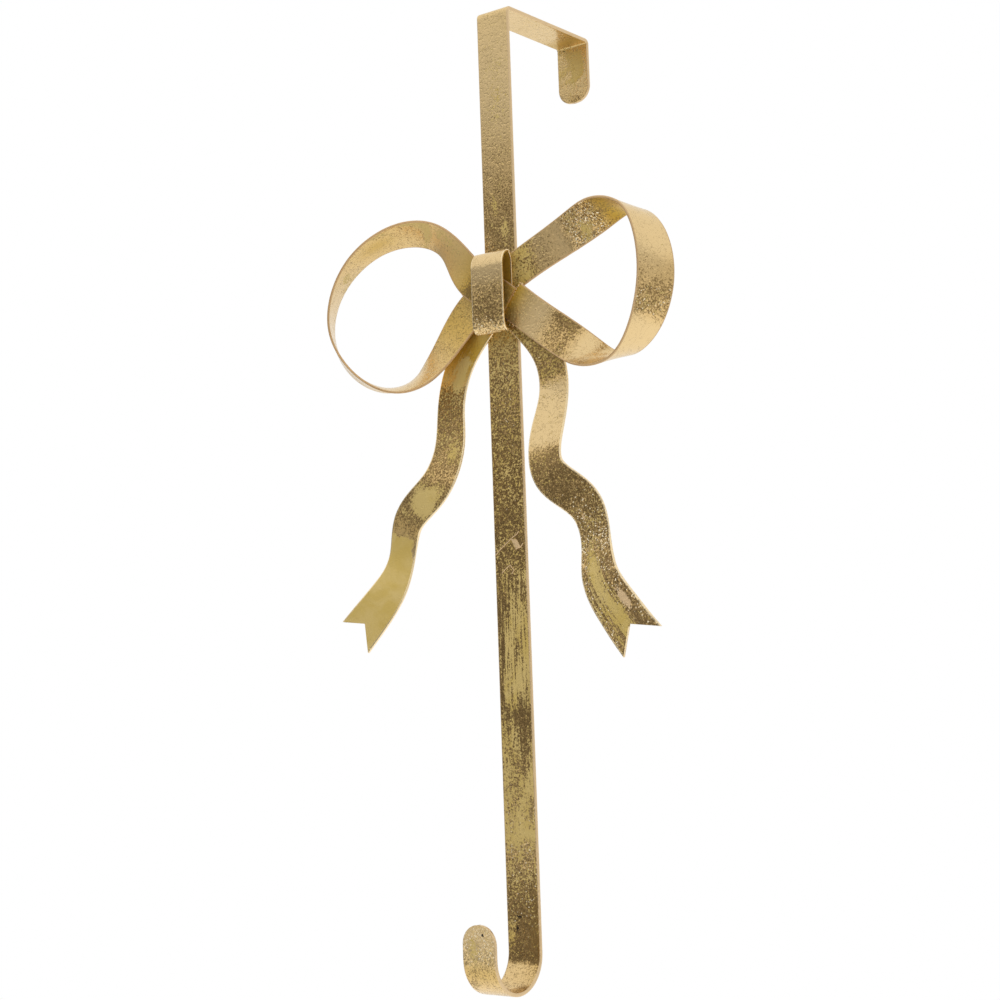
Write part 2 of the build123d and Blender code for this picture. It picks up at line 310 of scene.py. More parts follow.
RIGHT_LOOP_SPOTS = [
    ("brown", 0.50, WHOLE_LOOP, 0.0, WHOLE_WIDTH, 0.80),
    # Darker saturated gold on the loop's top, and painted reflection of the knot's inside at both arm roots
    ("tone_and_painted_reflection", 0.30, 0.035, -0.2, WHOLE_WIDTH, 1.00),
    ("tone_and_painted_reflection", 0.00, 0.060, 0.0, WHOLE_WIDTH, 1.00),
    ("tone_and_painted_reflection", 1.00, 0.035, 0.0, WHOLE_WIDTH, 1.00),
    ("tone_and_painted_reflection", 0.73, 0.020, -0.9, 0.6, 0.50),
    ("coat", 0.08, 0.040, -0.6, 0.60, 0.15),
    ("coat", 0.06, 0.030, 0.6, 0.60, 0.20),
    ("coat", 0.22, 0.030, 0.35, 0.45, 0.22),
    ("tarnish", 0.86, 0.030, 0.8, 0.50, 0.30),
    ("dusty", 0.16, 0.050, 0.0, WHOLE_WIDTH, 0.50),
    ("dusty", 0.93, 0.035, 0.0, WHOLE_WIDTH, 0.50),
]
LEFT_LOOP_SPOTS = [
    ("brown", 0.50, WHOLE_LOOP, 0.0, WHOLE_WIDTH, 0.90),
    # Painted reflection of the knot's inside on the arm end that runs through the knot
    ("tone_and_painted_reflection", 0.05, 0.100, 0.0, WHOLE_WIDTH, 0.95),
    ("tone_and_painted_reflection", 0.32, 0.120, 0.0, WHOLE_WIDTH, 0.28),
    # Painted shade beside the knot, laid as dark tarnish
    ("tarnish", 0.08, 0.020, 0.0, WHOLE_WIDTH, 0.60),
    ("tone_and_painted_reflection", 0.335, 0.035, 0.1, 0.50, 0.40),
    ("tone_and_painted_reflection", 0.90, 0.070, 0.0, WHOLE_WIDTH, 0.70),
    ("dusty", 0.15, 0.070, 0.0, WHOLE_WIDTH, 0.80),
]
RIGHT_TAIL_SPOTS = [
    ("coat", -208.0, 10.0, 0.30, 0.24, 0.26),
    ("coat", -224.0, 10.0, 0.10, 0.28, 0.36),
    ("coat", -219.0, 14.0, -0.70, 0.45, -0.14),
    ("bare", -222.0, 6.0, -0.50, 0.32, 0.78),
    ("bare", -189.5, 1.6, 0.40, 0.10, 0.90),
    # Painted reflection of the knot's inside on the tail's root
    ("tone_and_painted_reflection", -117.0, 8.0, 0.00, WHOLE_WIDTH, 0.80),
    ("dusty", -205.0, 10.0, 0.00, WHOLE_WIDTH, 0.20),
    ("dusty", -228.0, 10.0, 0.00, WHOLE_WIDTH, 0.30),
]
LEFT_TAIL_SPOTS = [
    ("coat", -132.0, 6.0, -0.35, 0.32, 0.42),
    ("coat", -162.0, 3.5, -0.30, 0.30, 0.25),
    ("coat", -178.0, 5.0, -0.10, 0.55, 0.14),
    ("coat", -197.0, 6.0, -1.00, 0.30, -0.70),
    # Painted reflection of gold on gold on the tail's root and top
    ("tone_and_painted_reflection", -124.0, 13.0, 0.00, WHOLE_WIDTH, 1.00),
    ("dusty", -130.0, WHOLE_WIDTH, 0.00, WHOLE_WIDTH, 0.25),
    ("tone_and_painted_reflection", -188.0, 5.0, 0.00, WHOLE_WIDTH, 0.30),
    ("dusty", -188.0, 5.0, 0.00, WHOLE_WIDTH, 0.40),
]
KNOT_SPOTS = [("dusty", -93.0, 5.0, 0.0, WHOLE_WIDTH, 0.40)]

# Values that each finish row gives after its place
FINISH_NAMES = ("coat", "streak", "tarnish", "pits", "patchy")

# Values that only spots give: rubbed leaf, black specks, a darker saturated gold that
# is painted reflection of the gilt near the knot and a tone elsewhere, dull leaf and brown cut edges
SPOT_NAMES = ("bare", "soot", "tone_and_painted_reflection", "dusty", "brown")

# Loops: name, side, stations, upper arm, lower arm, finish and spots
LOOPS = (
    ("right", 1, RIGHT_LOOP, RIGHT_UPPER_ARM, RIGHT_LOWER_ARM, RIGHT_LOOP_FINISH, RIGHT_LOOP_SPOTS),
    ("left", -1, LEFT_LOOP, LEFT_UPPER_ARM, LEFT_LOWER_ARM, LEFT_LOOP_FINISH, LEFT_LOOP_SPOTS),
)

# Tails: name, shape, finish and spots
TAILS = (
    ("right", RIGHT_TAIL, RIGHT_TAIL_FINISH, RIGHT_TAIL_SPOTS),
    ("left", LEFT_TAIL, LEFT_TAIL_FINISH, LEFT_TAIL_SPOTS),
)

# Drops of braze in millimetres: the right notch and the seam down from it, the
# foot of the right arm and the left notch, then the seams from strap to tails
WELD_SPOTS = [
    (12.2, -29.4, -103.9),
    (11.6, -29.7, -104.2),
    (11.0, -29.8, -104.5),
    (10.4, -29.9, -104.9),
    (9.9, -29.9, -105.6),
    (9.3, -29.9, -106.5),
    (8.6, -29.9, -107.5),
    (6.9, -29.0, -117.8),
    (6.0, -28.9, -117.1),
    (5.0, -28.9, -116.3),
    (-16.2, -28.2, -103.4),
    (-15.5, -28.2, -103.8),
    (-14.8, -28.2, -104.1),
]
TAIL_SEAM_DEPTH = -26.3
TAIL_SEAM = [(1.5, -117.5), (3.0, -119.0), (4.6, -120.6), (6.0, -122.0)]
WELD_SPOTS += [(side * out, TAIL_SEAM_DEPTH, height) for side in (1, -1) for out, height in TAIL_SEAM]

# Beads: the smallest one as a share of the largest, the seed of their sizes, and
# how far their outlines melt as a share of the radius
SMALLEST_BEAD = 0.6
BEAD_SEED = 4
BEAD_MELT = 0.3

# Raised edges of the leaf on the strap's face, and one loose flake: across and
# height in millimetres
LEAF_EDGES = [
    [(-6.9, -200.3), (-4.6, -198.3), (0.5, -194.7), (3.3, -193.1), (4.3, -192.1)],
    [(2.6, -198.5), (4.9, -197.9), (5.9, -196.5)],
    [(-4.1, -206.6), (-0.3, -204.0), (1.4, -205.9), (0.4, -207.3)],
]
LEAF_FLAKE = [(0.5, -194.7), (3.0, -195.0), (4.9, -197.9), (2.6, -198.5)]

# Points along the leaf edges and how far they waver, how far the flake stands out
# of the strap and goes into it, all in millimetres, and how rubbed the flake is
LEAF_EDGE_STEP = 0.2
LEAF_EDGE_WAVER = 0.2
FLAKE_LIFT = 0.05
FLAKE_SINK = 0.1
FLAKE_BARE = 0.65

# Floor and softbox, in metres
FLOOR_REACH = 2.5
SOFTBOX_PLACE = (-0.25, -0.45, 0.95)
SOFTBOX_TARGET = (0.0, -0.03, -0.15)
SOFTBOX_SIZE = 1.3

# Camera at the view of the photograph: angles in degrees, target and distance in
# millimetres
CAMERA_AZIMUTH = 37.835
CAMERA_ELEVATION = -5.564
CAMERA_ROLL = -1.976
CAMERA_TARGET = (-2.391, -27.857, -180.5)
CAMERA_DISTANCE = 679.9

WHITE = (1.0, 1.0, 1.0, 1.0)


class HangerSizes(bpy.types.PropertyGroup):
    """Sizes of the strap and of the ribbon bow."""

    strap_width: bpy.props.FloatProperty(
        name="Strap Width", description="Width of the strap",
        default=14.5 * MM, min=1.0 * MM, unit="LENGTH",
    )
    strap_thickness: bpy.props.FloatProperty(
        name="Strap Thickness", description="Thickness of the strap",
        default=STRAP_THICKNESS, min=0.2 * MM, unit="LENGTH",
    )
    door_gap: bpy.props.FloatProperty(
        name="Door Gap", description="Gap that the top of the door sits in",
        default=DOOR_GAP, min=5.0 * MM, unit="LENGTH",
    )
    rear_drop: bpy.props.FloatProperty(
        name="Rear Drop", description="Height of the rear plate",
        default=24.0 * MM, min=5.0 * MM, unit="LENGTH",
    )
    overall_height: bpy.props.FloatProperty(
        name="Overall Height", description="Height of the whole hanger",
        default=OVERALL_HEIGHT, min=50.0 * MM, unit="LENGTH",
    )
    hook_radius: bpy.props.FloatProperty(
        name="Hook Radius", description="Outer radius of the wreath hook",
        default=13.5 * MM, min=3.0 * MM, unit="LENGTH",
    )
    lip_height: bpy.props.FloatProperty(
        name="Lip Height", description="Straight part of the hook's lip",
        default=12.0 * MM, min=0.0, unit="LENGTH",
    )
    ribbon_width: bpy.props.FloatProperty(
        name="Ribbon Width", description="Width of the loop ribbon",
        default=14.0 * MM, min=1.0 * MM, unit="LENGTH",
    )
    ribbon_thickness: bpy.props.FloatProperty(
        name="Ribbon Thickness", description="Thickness of the ribbon",
        default=0.9 * MM, min=0.2 * MM, unit="LENGTH",
    )
    strap_rim: bpy.props.FloatProperty(
        name="Strap Rim", description="Rounding of the strap's edges",
        default=0.6 * MM, min=0.05 * MM, unit="LENGTH",
    )
    ribbon_rim: bpy.props.FloatProperty(
        name="Ribbon Rim", description="Rounding of the ribbon's edges",
        default=0.3 * MM, min=0.05 * MM, unit="LENGTH",
    )
    knot_width: bpy.props.FloatProperty(
        name="Knot Width", description="Width of the knot band",
        default=14.5 * MM, min=1.0 * MM, unit="LENGTH",
    )
    knot_drop: bpy.props.FloatProperty(
        name="Knot Drop", description="Knot's middle below the hanger's top",
        default=107.0 * MM, unit="LENGTH",
    )
    bead_radius: bpy.props.FloatProperty(
        name="Bead Radius", description="Radius of the largest drop of braze",
        default=0.6 * MM, min=0.05 * MM, unit="LENGTH",
    )
    leaf_edge: bpy.props.FloatProperty(
        name="Leaf Edge", description="Radius of the raised leaf edges",
        default=0.2 * MM, min=0.01 * MM, unit="LENGTH",
    )
    relief_depth: bpy.props.FloatProperty(
        name="Relief Depth", description="Depth of the hammered relief",
        default=0.06 * MM, min=0.0, unit="LENGTH",
    )
    relief_size: bpy.props.FloatProperty(
        name="Relief Size", description="Width of one dent of the relief",
        default=4.0 * MM, min=0.5 * MM, unit="LENGTH",
    )


class HangerFinish(bpy.types.PropertyGroup):
    """Colours of the leaf finish."""

    gold: bpy.props.FloatVectorProperty(
        name="Gold", description="Clean leaf", subtype="COLOR", size=3, default=(0.80, 0.59, 0.30)
    )
    tarnish: bpy.props.FloatVectorProperty(
        name="Tarnish", description="Dark flecks", subtype="COLOR", size=3, default=(0.19, 0.115, 0.042)
    )
    deep: bpy.props.FloatVectorProperty(
        name="Deep", description="Old leaf", subtype="COLOR", size=3, default=(0.76, 0.52, 0.22)
    )
    coat: bpy.props.FloatVectorProperty(
        name="Coat", description="Matte coat", subtype="COLOR", size=3, default=(0.62, 0.45, 0.125)
    )
    pale_coat: bpy.props.FloatVectorProperty(
        name="Pale Coat", description="Thin coat", subtype="COLOR", size=3, default=(0.68, 0.51, 0.19)
    )
    # Rim: pale edge colour, partly rubbed leaf and partly a painted highlight
    rim: bpy.props.FloatVectorProperty(
        name="Rim", description="Rubbed edges", subtype="COLOR", size=3, default=(0.93, 0.74, 0.45)
    )
    brown_rim: bpy.props.FloatVectorProperty(
        name="Brown Rim", description="Brown cut edges", subtype="COLOR", size=3, default=(0.58, 0.36, 0.16)
    )
    bare: bpy.props.FloatVectorProperty(
        name="Bare", description="Rubbed spot", subtype="COLOR", size=3, default=(0.72, 0.52, 0.29)
    )
    # Darker saturated gold, painted as reflection of the gilt in and near the knot
    tone_and_painted_reflection: bpy.props.FloatVectorProperty(
        name="Varnish", description="Tanned leaf", subtype="COLOR", size=3, default=(0.60, 0.38, 0.05)
    )
    # Glint: painted highlight colour of the glinting specks
    glint: bpy.props.FloatVectorProperty(
        name="Glint", description="Crumpled specks", subtype="COLOR", size=3, default=(1.0, 0.86, 0.60)
    )
    soot: bpy.props.FloatVectorProperty(
        name="Soot", description="Black specks", subtype="COLOR", size=3, default=(0.05, 0.035, 0.02)
    )


class HangerStage(bpy.types.PropertyGroup):
    """Floor, lamps and camera."""

    floor_drop: bpy.props.FloatProperty(
        name="Floor Drop", description="Floor below the door's top", default=0.95, unit="LENGTH"
    )
    top_light: bpy.props.FloatProperty(
        name="Top Light", description="Power of the softbox above", default=5.0, unit="POWER"
    )
    surround: bpy.props.FloatProperty(
        name="Surround", description="Brightness of the walls and ceiling", default=0.95, min=0.0
    )
    room: bpy.props.FloatProperty(
        name="Room", description="Brightness of the room in front", default=0.28, min=0.0
    )
    card: bpy.props.FloatProperty(
        name="Card", description="Share of the surround's brightness on the right", default=0.6, min=0.0
    )
    lens: bpy.props.FloatProperty(
        name="Lens", description="Focal length of the camera", default=68.06, unit="CAMERA"
    )


def sizes_in_millimetres(scene):
    """The scene's sizes in millimetres, rounded to undo their single precision."""
    settings = scene.hanger_sizes
    names = HangerSizes.__annotations__
    return SimpleNamespace(**{name: round(getattr(settings, name) / MM, 4) for name in names})


# Node helpers


def plug(tree, socket, value):
    """Link an output to a socket, or set the socket's own value."""
    if isinstance(value, bpy.types.NodeSocket):
        tree.links.new(value, socket)
    else:
        socket.default_value = value


def add_node(tree, kind, inputs=None, **settings):
    """Add a node, set its options, then fill its sockets by name or number."""
    node = tree.nodes.new(kind)
    for name, value in settings.items():
        setattr(node, name, value)
    for key, value in (inputs or {}).items():
        plug(tree, node.inputs[key], value)
    return node


def maths(tree, operation, *values):
    """Result of a maths node."""
    node = add_node(tree, "ShaderNodeMath", dict(enumerate(values)), operation=operation)
    return node.outputs[0]


def vectors(tree, operation, *values):
    """Vector result of a vector maths node."""
    node = add_node(tree, "ShaderNodeVectorMath", operation=operation)
    if operation == "SCALE":
        plug(tree, node.inputs[0], values[0])
        plug(tree, node.inputs["Scale"], values[1])
    else:
        for number, value in enumerate(values):
            plug(tree, node.inputs[number], value)
    return node.outputs[0]


def noise(tree, vector, scale, detail=2.0, roughness=0.5, distortion=0.0):
    """Value of a noise texture."""
    inputs = {
        "Vector": vector,
        "Scale": scale,
        "Detail": detail,
        "Roughness": roughness,
        "Distortion": distortion,
    }
    return add_node(tree, "ShaderNodeTexNoise", inputs).outputs[0]


def step_between(tree, value, low, high, start=0.0, end=1.0):
    """Smooth step from start to end while the value goes from low to high."""
    inputs = {0: value, 1: low, 2: high, 3: start, 4: end}
    node = add_node(tree, "ShaderNodeMapRange", inputs, interpolation_type="SMOOTHSTEP")
    return node.outputs[0]


def soft_edge(tree, value, edge, half):
    """Smooth step centred on an edge that nodes work out."""
    low = maths(tree, "SUBTRACT", edge, half)
    high = maths(tree, "ADD", edge, half)
    return step_between(tree, value, low, high)


def mix_colour(tree, factor, first, second):
    """Mix of two colours."""
    inputs = {0: factor, 6: first, 7: second}
    return add_node(tree, "ShaderNodeMix", inputs, data_type="RGBA").outputs[2]


def mix_value(tree, factor, first, second):
    """Mix of two values."""
    return add_node(tree, "ShaderNodeMix", {0: factor, 2: first, 3: second}).outputs[0]


def laid_over(tree, mix, base, layers):
    """Base with layers mixed over it in turn, each a share and a colour or value."""
    for share, layer_value in layers:
        base = mix(tree, share, base, layer_value)
    return base


def cell_values(tree, vector, scale):
    """Random colour of each cell of a cell texture."""
    return add_node(tree, "ShaderNodeTexVoronoi", {"Vector": vector, "Scale": scale}).outputs["Color"]


def attribute(tree, name):
    """Value of a mesh attribute in a material."""
    return add_node(tree, "ShaderNodeAttribute", attribute_name=name).outputs["Fac"]


def rgba(colour):
    """Colour with full alpha."""
    return (*colour, 1.0)


# Materials


def new_material(name):
    """Material with an empty node tree."""
    material = bpy.data.materials.new(name)
    material.use_nodes = True
    material.node_tree.nodes.clear()
    return material


def leaf_material(name, finish):
    """Worn gold leaf: glossy leaf, dark flecks, patches of matte coat, rims partly rubbed pale and partly a
    painted highlight, specks with a painted highlight and a darker gold with painted reflection of the
    gilt.
    """
    material = new_material(name)
    tree = material.node_tree
    place = add_node(tree, "ShaderNodeTexCoord").outputs["Object"]
    along = attribute(tree, "along")
    across = attribute(tree, "across")
    coat_share, streak_share, tarnish_share, pit_share, patch_share = (
        attribute(tree, value) for value in FINISH_NAMES
    )
    bare_share, soot_share, tone_and_painted_reflection_share, dusty_share, brown_share = (
        attribute(tree, value) for value in SPOT_NAMES
    )

    # Coordinates that run with the strip, stretched along it for streaks
    streak_along = maths(tree, "MULTIPLY", along, 70.0)
    streak_across = maths(tree, "MULTIPLY", across, 9.0)
    strip = add_node(tree, "ShaderNodeCombineXYZ", {0: streak_along, 1: streak_across}).outputs[0]

    # Patterns, from the finest grain to the broadest change of tone
    grain = noise(tree, place, scale=2200.0, roughness=0.6)
    fine = noise(tree, place, scale=1450.0, detail=3.0, roughness=0.65)
    beside = vectors(tree, "ADD", place, (3.1, 1.7, 2.3))
    other = noise(tree, beside, scale=1500.0, detail=3.0, roughness=0.65)
    cells = cell_values(tree, place, 1700.0)
    chips = add_node(tree, "ShaderNodeSeparateColor", {0: cells}).outputs["Red"]
    fine = mix_value(tree, 0.22, fine, chips)
    patch = noise(tree, place, scale=85.0, detail=4.0, roughness=0.6, distortion=0.6)
    broad = noise(tree, place, scale=32.0)
    streaks = noise(tree, strip, scale=1.0, detail=4.0, roughness=0.6)
    wrinkle = noise(tree, place, scale=130.0, detail=4.0, roughness=0.55, distortion=1.6)

    # Matte coat: fine flecks, larger patches and streaks along the strip
    flecks = mix_value(tree, patch_share, fine, patch)
    drawn = mix_value(tree, 0.35, streaks, fine)
    coat_level = mix_value(tree, streak_share, flecks, drawn)
    edge_of_coat = maths(tree, "MULTIPLY_ADD", coat_share, -0.52, 0.76)
    coat = soft_edge(tree, coat_level, edge_of_coat, 0.035)

    # Dark flecks in the leaf
    dark_level = mix_value(tree, 0.25, other, patch)
    edge_of_dark = maths(tree, "MULTIPLY_ADD", tarnish_share, -0.40, 0.72)
    dark = soft_edge(tree, dark_level, edge_of_dark, 0.07)

    # Thin crinkles of the leaf
    off_line = maths(tree, "ABSOLUTE", maths(tree, "SUBTRACT", wrinkle, 0.5))
    crinkle = step_between(tree, off_line, 0.0, 0.012, 1.0, 0.0)

    # Cut rims along both edges of the strip, left brown or made pale: the pale rim is partly rubbed leaf
    # and partly a painted highlight
    edge = maths(tree, "ABSOLUTE", across)
    ragged = maths(tree, "MULTIPLY_ADD", fine, 0.03, edge)
    rim = step_between(tree, ragged, 0.930, 0.955)

    # Rubbed spots, broken up by the flecks
    bare_level = maths(tree, "MULTIPLY_ADD", flecks, 0.9, bare_share)
    bare = step_between(tree, bare_level, 0.98, 1.04)

    # Black specks
    soot_level = maths(tree, "MULTIPLY_ADD", other, 0.9, soot_share)
    soot = step_between(tree, soot_level, 0.98, 1.04)

    # Crumpled specks that catch the light from above, with a painted highlight: their colour is painted
    # pale
    rough_leaf = step_between(tree, pit_share, 0.7, 1.9)
    specks = cell_values(tree, place, 2600.0)
    speck_level = add_node(tree, "ShaderNodeSeparateColor", {0: specks}).outputs["Blue"]
    edge_of_glint = maths(tree, "MULTIPLY_ADD", rough_leaf, -0.15, 1.01)
    glint = step_between(tree, speck_level, edge_of_glint, maths(tree, "ADD", edge_of_glint, 0.02))

    # Colour, from the clean leaf outwards
    age = step_between(tree, maths(tree, "MULTIPLY_ADD", broad, 0.6, tarnish_share), 0.4, 1.0)
    coat_tone = step_between(tree, patch, 0.35, 0.65)
    colour = laid_over(
        tree,
        mix_colour,
        rgba(finish.gold),
        [
            (age, rgba(finish.deep)),
            (tone_and_painted_reflection_share, rgba(finish.tone_and_painted_reflection)),
            (maths(tree, "MULTIPLY", dark, 0.85), rgba(finish.tarnish)),
            (maths(tree, "MULTIPLY", crinkle, 0.28), rgba(finish.tarnish)),
            (glint, rgba(finish.glint)),
            (coat, mix_colour(tree, coat_tone, rgba(finish.coat), rgba(finish.pale_coat))),
            (rim, mix_colour(tree, brown_share, rgba(finish.rim), rgba(finish.brown_rim))),
            (bare, rgba(finish.bare)),
            (soot, rgba(finish.soot)),
        ],
    )

    # Roughness, from the smoothest leaf outwards
    rough = laid_over(
        tree,
        mix_value,
        0.13,
        [
            (fine, 0.28),
            (maths(tree, "MULTIPLY", pit_share, 0.5), 0.14),
            (dark, 0.34),
            (glint, 0.14),
            (tone_and_painted_reflection_share, 0.35),
            (dusty_share, 0.40),
            (coat, 0.55),
            (bare, 0.60),
            (rim, mix_value(tree, brown_share, 0.20, 0.45)),
            (soot, 0.50),
        ],
    )

    # Share of bare metal
    metal = laid_over(
        tree,
        mix_value,
        1.0,
        [
            (tone_and_painted_reflection_share, 0.50),
            (dusty_share, 0.35),
            (coat, 0.35),
            (rim, mix_value(tree, brown_share, 1.0, 0.40)),
            (bare, 0.30),
        ],
    )

    # Small relief: pits away from the rims, raised coat, crinkles and grain
    pitted = vectors(tree, "ADD", place, (1.3, 4.1, 0.7))
    dents = noise(tree, pitted, scale=850.0, detail=1.5, roughness=0.55)
    dents = step_between(tree, dents, 0.52, 0.68, 0.0, -1.0)
    pits = mix_value(tree, rim, maths(tree, "MULTIPLY", dents, pit_share), 0.0)
    height = maths(tree, "MULTIPLY_ADD", coat, 0.35, pits)
    height = maths(tree, "MULTIPLY_ADD", crinkle, 0.15, height)
    grain_share = maths(tree, "MULTIPLY_ADD", pit_share, 0.10, 0.04)
    height = maths(tree, "MULTIPLY_ADD", grain, grain_share, height)
    relief = {"Strength": 0.8, "Distance": 0.16 * MM, "Height": height}
    bump = add_node(tree, "ShaderNodeBump", relief).outputs[0]

    # Small facets of crumpled leaf, each tilted its own way, that glint
    tilt = vectors(tree, "SUBTRACT", cells, (0.5, 0.5, 0.5))
    tilt_share = step_between(tree, pit_share, 0.4, 1.6, 0.0, 0.5)
    tilt_share = maths(tree, "MULTIPLY", tilt_share, maths(tree, "SUBTRACT", 1.0, coat))
    facets = vectors(tree, "ADD", bump, vectors(tree, "SCALE", tilt, tilt_share))
    lifted = vectors(tree, "SCALE", (0.0, 0.0, 0.3), maths(tree, "SUBTRACT", glint, coat))
    facets = vectors(tree, "ADD", facets, vectors(tree, "MAXIMUM", lifted, (0.0, 0.0, 0.0)))
    surface = {
        "Base Color": colour,
        "Metallic": metal,
        "Roughness": rough,
        "Specular IOR Level": 0.3,
        "Normal": vectors(tree, "NORMALIZE", facets),
    }
    shader = add_node(tree, "ShaderNodeBsdfPrincipled", surface).outputs[0]
    add_node(tree, "ShaderNodeOutputMaterial", {"Surface": shader})
    return material


def weld_material(name, finish):
    """Bright drops of braze with darker skins."""
    material = new_material(name)
    tree = material.node_tree
    place = add_node(tree, "ShaderNodeTexCoord").outputs["Object"]
    fine = noise(tree, place, scale=1400.0, detail=3.0)
    skin = step_between(tree, fine, 0.52, 0.66)
    relief = {"Strength": 0.5, "Distance": 0.1 * MM, "Height": fine}
    surface = {
        "Base Color": mix_colour(tree, skin, rgba(finish.gold), rgba(finish.tarnish)),
        "Metallic": 1.0,
        "Roughness": mix_value(tree, skin, 0.12, 0.35),
        "Normal": add_node(tree, "ShaderNodeBump", relief).outputs[0],
    }
    shader = add_node(tree, "ShaderNodeBsdfPrincipled", surface).outputs[0]
    add_node(tree, "ShaderNodeOutputMaterial", {"Surface": shader})
    return material


def shared_material(name, build):
    """The material of that name, built on first use."""
    found = bpy.data.materials.get(name)
    return found or build(name, bpy.context.scene.hanger_finish)


# Paths that the strips follow


def cubic(share, span, first, last, first_slope, last_slope):
    """Cubic from first to last over a span, with given slopes at its two ends."""
    square, cube = share**2, share**3
    return (
        (2 * cube - 3 * square + 1) * first
        + (cube - 2 * square + share) * span * first_slope
        + (3 * square - 2 * cube) * last
        + (cube - square) * span * last_slope
    )


def clamped_spline(points, start_along, end_along, per_span=60):
    """Dense points of a cubic spline through points, and the places of those points in it.

    The directions at both ends are given.
    """
    points = np.array(points, dtype=float)
    spans = np.linalg.norm(np.diff(points, axis=0), axis=1)
    count = len(points)
    system = np.zeros((count, count))
    right = np.zeros((count, 3))
    system[0, 0] = system[-1, -1] = 1.0
    right[0], right[-1] = start_along, end_along
    for number in range(1, count - 1):
        before, after = spans[number - 1], spans[number]
        system[number, number - 1] = 1 / before
        system[number, number] = 2 / before + 2 / after
        system[number, number + 1] = 1 / after
        right[number] = 3 * (points[number] - points[number - 1]) / before**2
        right[number] += 3 * (points[number + 1] - points[number]) / after**2
    slopes = np.linalg.solve(system, right)
    share = np.linspace(0, 1, per_span, endpoint=False)[:, None]
    dense = []
    for number, span in enumerate(spans):
        ends = points[number], points[number + 1]
        dense.append(cubic(share, span, *ends, slopes[number], slopes[number + 1]))
    dense.append(points[-1:])
    return np.vstack(dense), np.arange(count) * per_span


def lengths_along(points):
    """Length of the path up to each of its points."""
    steps = np.linalg.norm(np.diff(points, axis=0), axis=1)
    return np.concatenate([[0.0], np.cumsum(steps)])


def blend(places, values, wanted):
    """Smooth values at the wanted places, with no overshoot at the ends."""
    places, values = np.array(places), np.array(values)
    slopes = np.zeros(len(places))
    slopes[1:-1] = (values[2:] - values[:-2]) / (places[2:] - places[:-2])
    index = np.clip(np.searchsorted(places, wanted, side="left") - 1, 0, len(places) - 2)
    span = places[index + 1] - places[index]
    share = (wanted - places[index]) / span
    return cubic(share, span, values[index], values[index + 1], slopes[index], slopes[index + 1])


def unit(rows):
    """Rows scaled to length one."""
    return rows / np.linalg.norm(rows, axis=1)[:, None]


def directions(points):
    """Direction of the path at each of its points."""
    return unit(np.gradient(points, axis=0))


def across_directions(along, roll):
    """Direction across a ribbon that runs along and is rolled about its own line."""
    depth = np.array([0.0, 1.0, 0.0])
    depth = unit(depth - along * (along @ depth)[:, None])
    inward = np.cross(depth, along)
    roll = np.radians(roll)[:, None]
    return inward * np.cos(roll) + depth * np.sin(roll)


def straight(start, end, step=0.5):
    """Points of a straight run, without its last point."""
    count = max(2, int(np.linalg.norm(np.subtract(end, start)) / step))
    share = np.linspace(0, 1, count, endpoint=False)[:, None]
    return np.array(start) + share * (np.array(end) - np.array(start))


def arc(centre, radii, start, sweep, count):
    """Points of an arc in the side view, as Y and Z, without its last point."""
    angle = np.radians(start + np.linspace(0, 1, count, endpoint=False) * sweep)
    side = np.stack([np.cos(angle) * radii[0], np.sin(angle) * radii[1]], axis=1) + centre
    return np.column_stack([np.zeros(count), side])


def side_run(start, end):
    """Straight run in the side view, as Y and Z."""
    return straight((0.0, *start), (0.0, *end))


class Path:
    """Line that a strip follows, with the direction across the strip at each point."""

    def __init__(self, points, across, widths=None):
        self.points = points
        self.across = across
        self.widths = widths
        self.lengths = lengths_along(points)
        self.total = self.lengths[-1]

    def at(self, length, sideways):
        """Points beside the line: sideways is measured across the strip."""
        spot = [np.interp(length, self.lengths, self.points[:, axis]) for axis in range(3)]
        turn = [np.interp(length, self.lengths, self.across[:, axis]) for axis in range(3)]
        return np.stack(spot, axis=-1) + np.stack(turn, axis=-1) * np.asarray(sideways)[..., None]

    def half_width(self, length):
        """Half the strip's own width at a length."""
        return np.interp(length, self.lengths, self.widths) / 2


def level_path(points):
    """Path of a strip whose width runs straight across the hanger."""
    return Path(points, np.tile([1.0, 0.0, 0.0], (len(points), 1)))


def strap_path(sizes):
    """Middle line of the strap, from the rear plate over the door and down to the lip."""
    half = sizes.strap_thickness / 2
    rear = sizes.door_gap / 2 + half
    top = half
    bend = BEND_INNER_RADIUS + half
    hook = sizes.hook_radius
    middle_y = -sizes.door_gap / 2 - hook
    middle_z = sizes.strap_thickness - sizes.overall_height + hook
    lip_y = middle_y - hook + half
    lip_top = middle_z + sizes.lip_height
    runs = [
        side_run((rear, sizes.strap_thickness - sizes.rear_drop), (rear, top - bend)),
        arc((rear - bend, top - bend), (bend, bend), start=0, sweep=90, count=12),
        side_run((rear - bend, top), (-rear + bend, top)),
        arc((-rear + bend, top - bend), (bend, bend), start=90, sweep=90, count=12),
        side_run((-rear, top - bend), (-rear, middle_z)),
        arc((middle_y, middle_z), (hook - half, hook - half), start=0, sweep=-180, count=90),
        side_run((lip_y, middle_z), (lip_y, lip_top)),
        np.array([[0.0, lip_y, lip_top]]),
    ]
    return level_path(np.vstack(runs))


def layer(sizes, number):
    """Middle of a layer of ribbon in front of the strap face."""
    pitch = sizes.ribbon_thickness + LAYER_GAP
    return LAYER_GAP + sizes.ribbon_thickness / 2 + number * pitch


def bow_point(sizes, side, outward, forward, rise):
    """Point on the bow, measured from the middle of the knot on the strap face."""
    face = -sizes.door_gap / 2 - sizes.strap_thickness
    knot = sizes.strap_thickness - sizes.knot_drop
    return np.array([side * outward, face - forward, knot + rise])


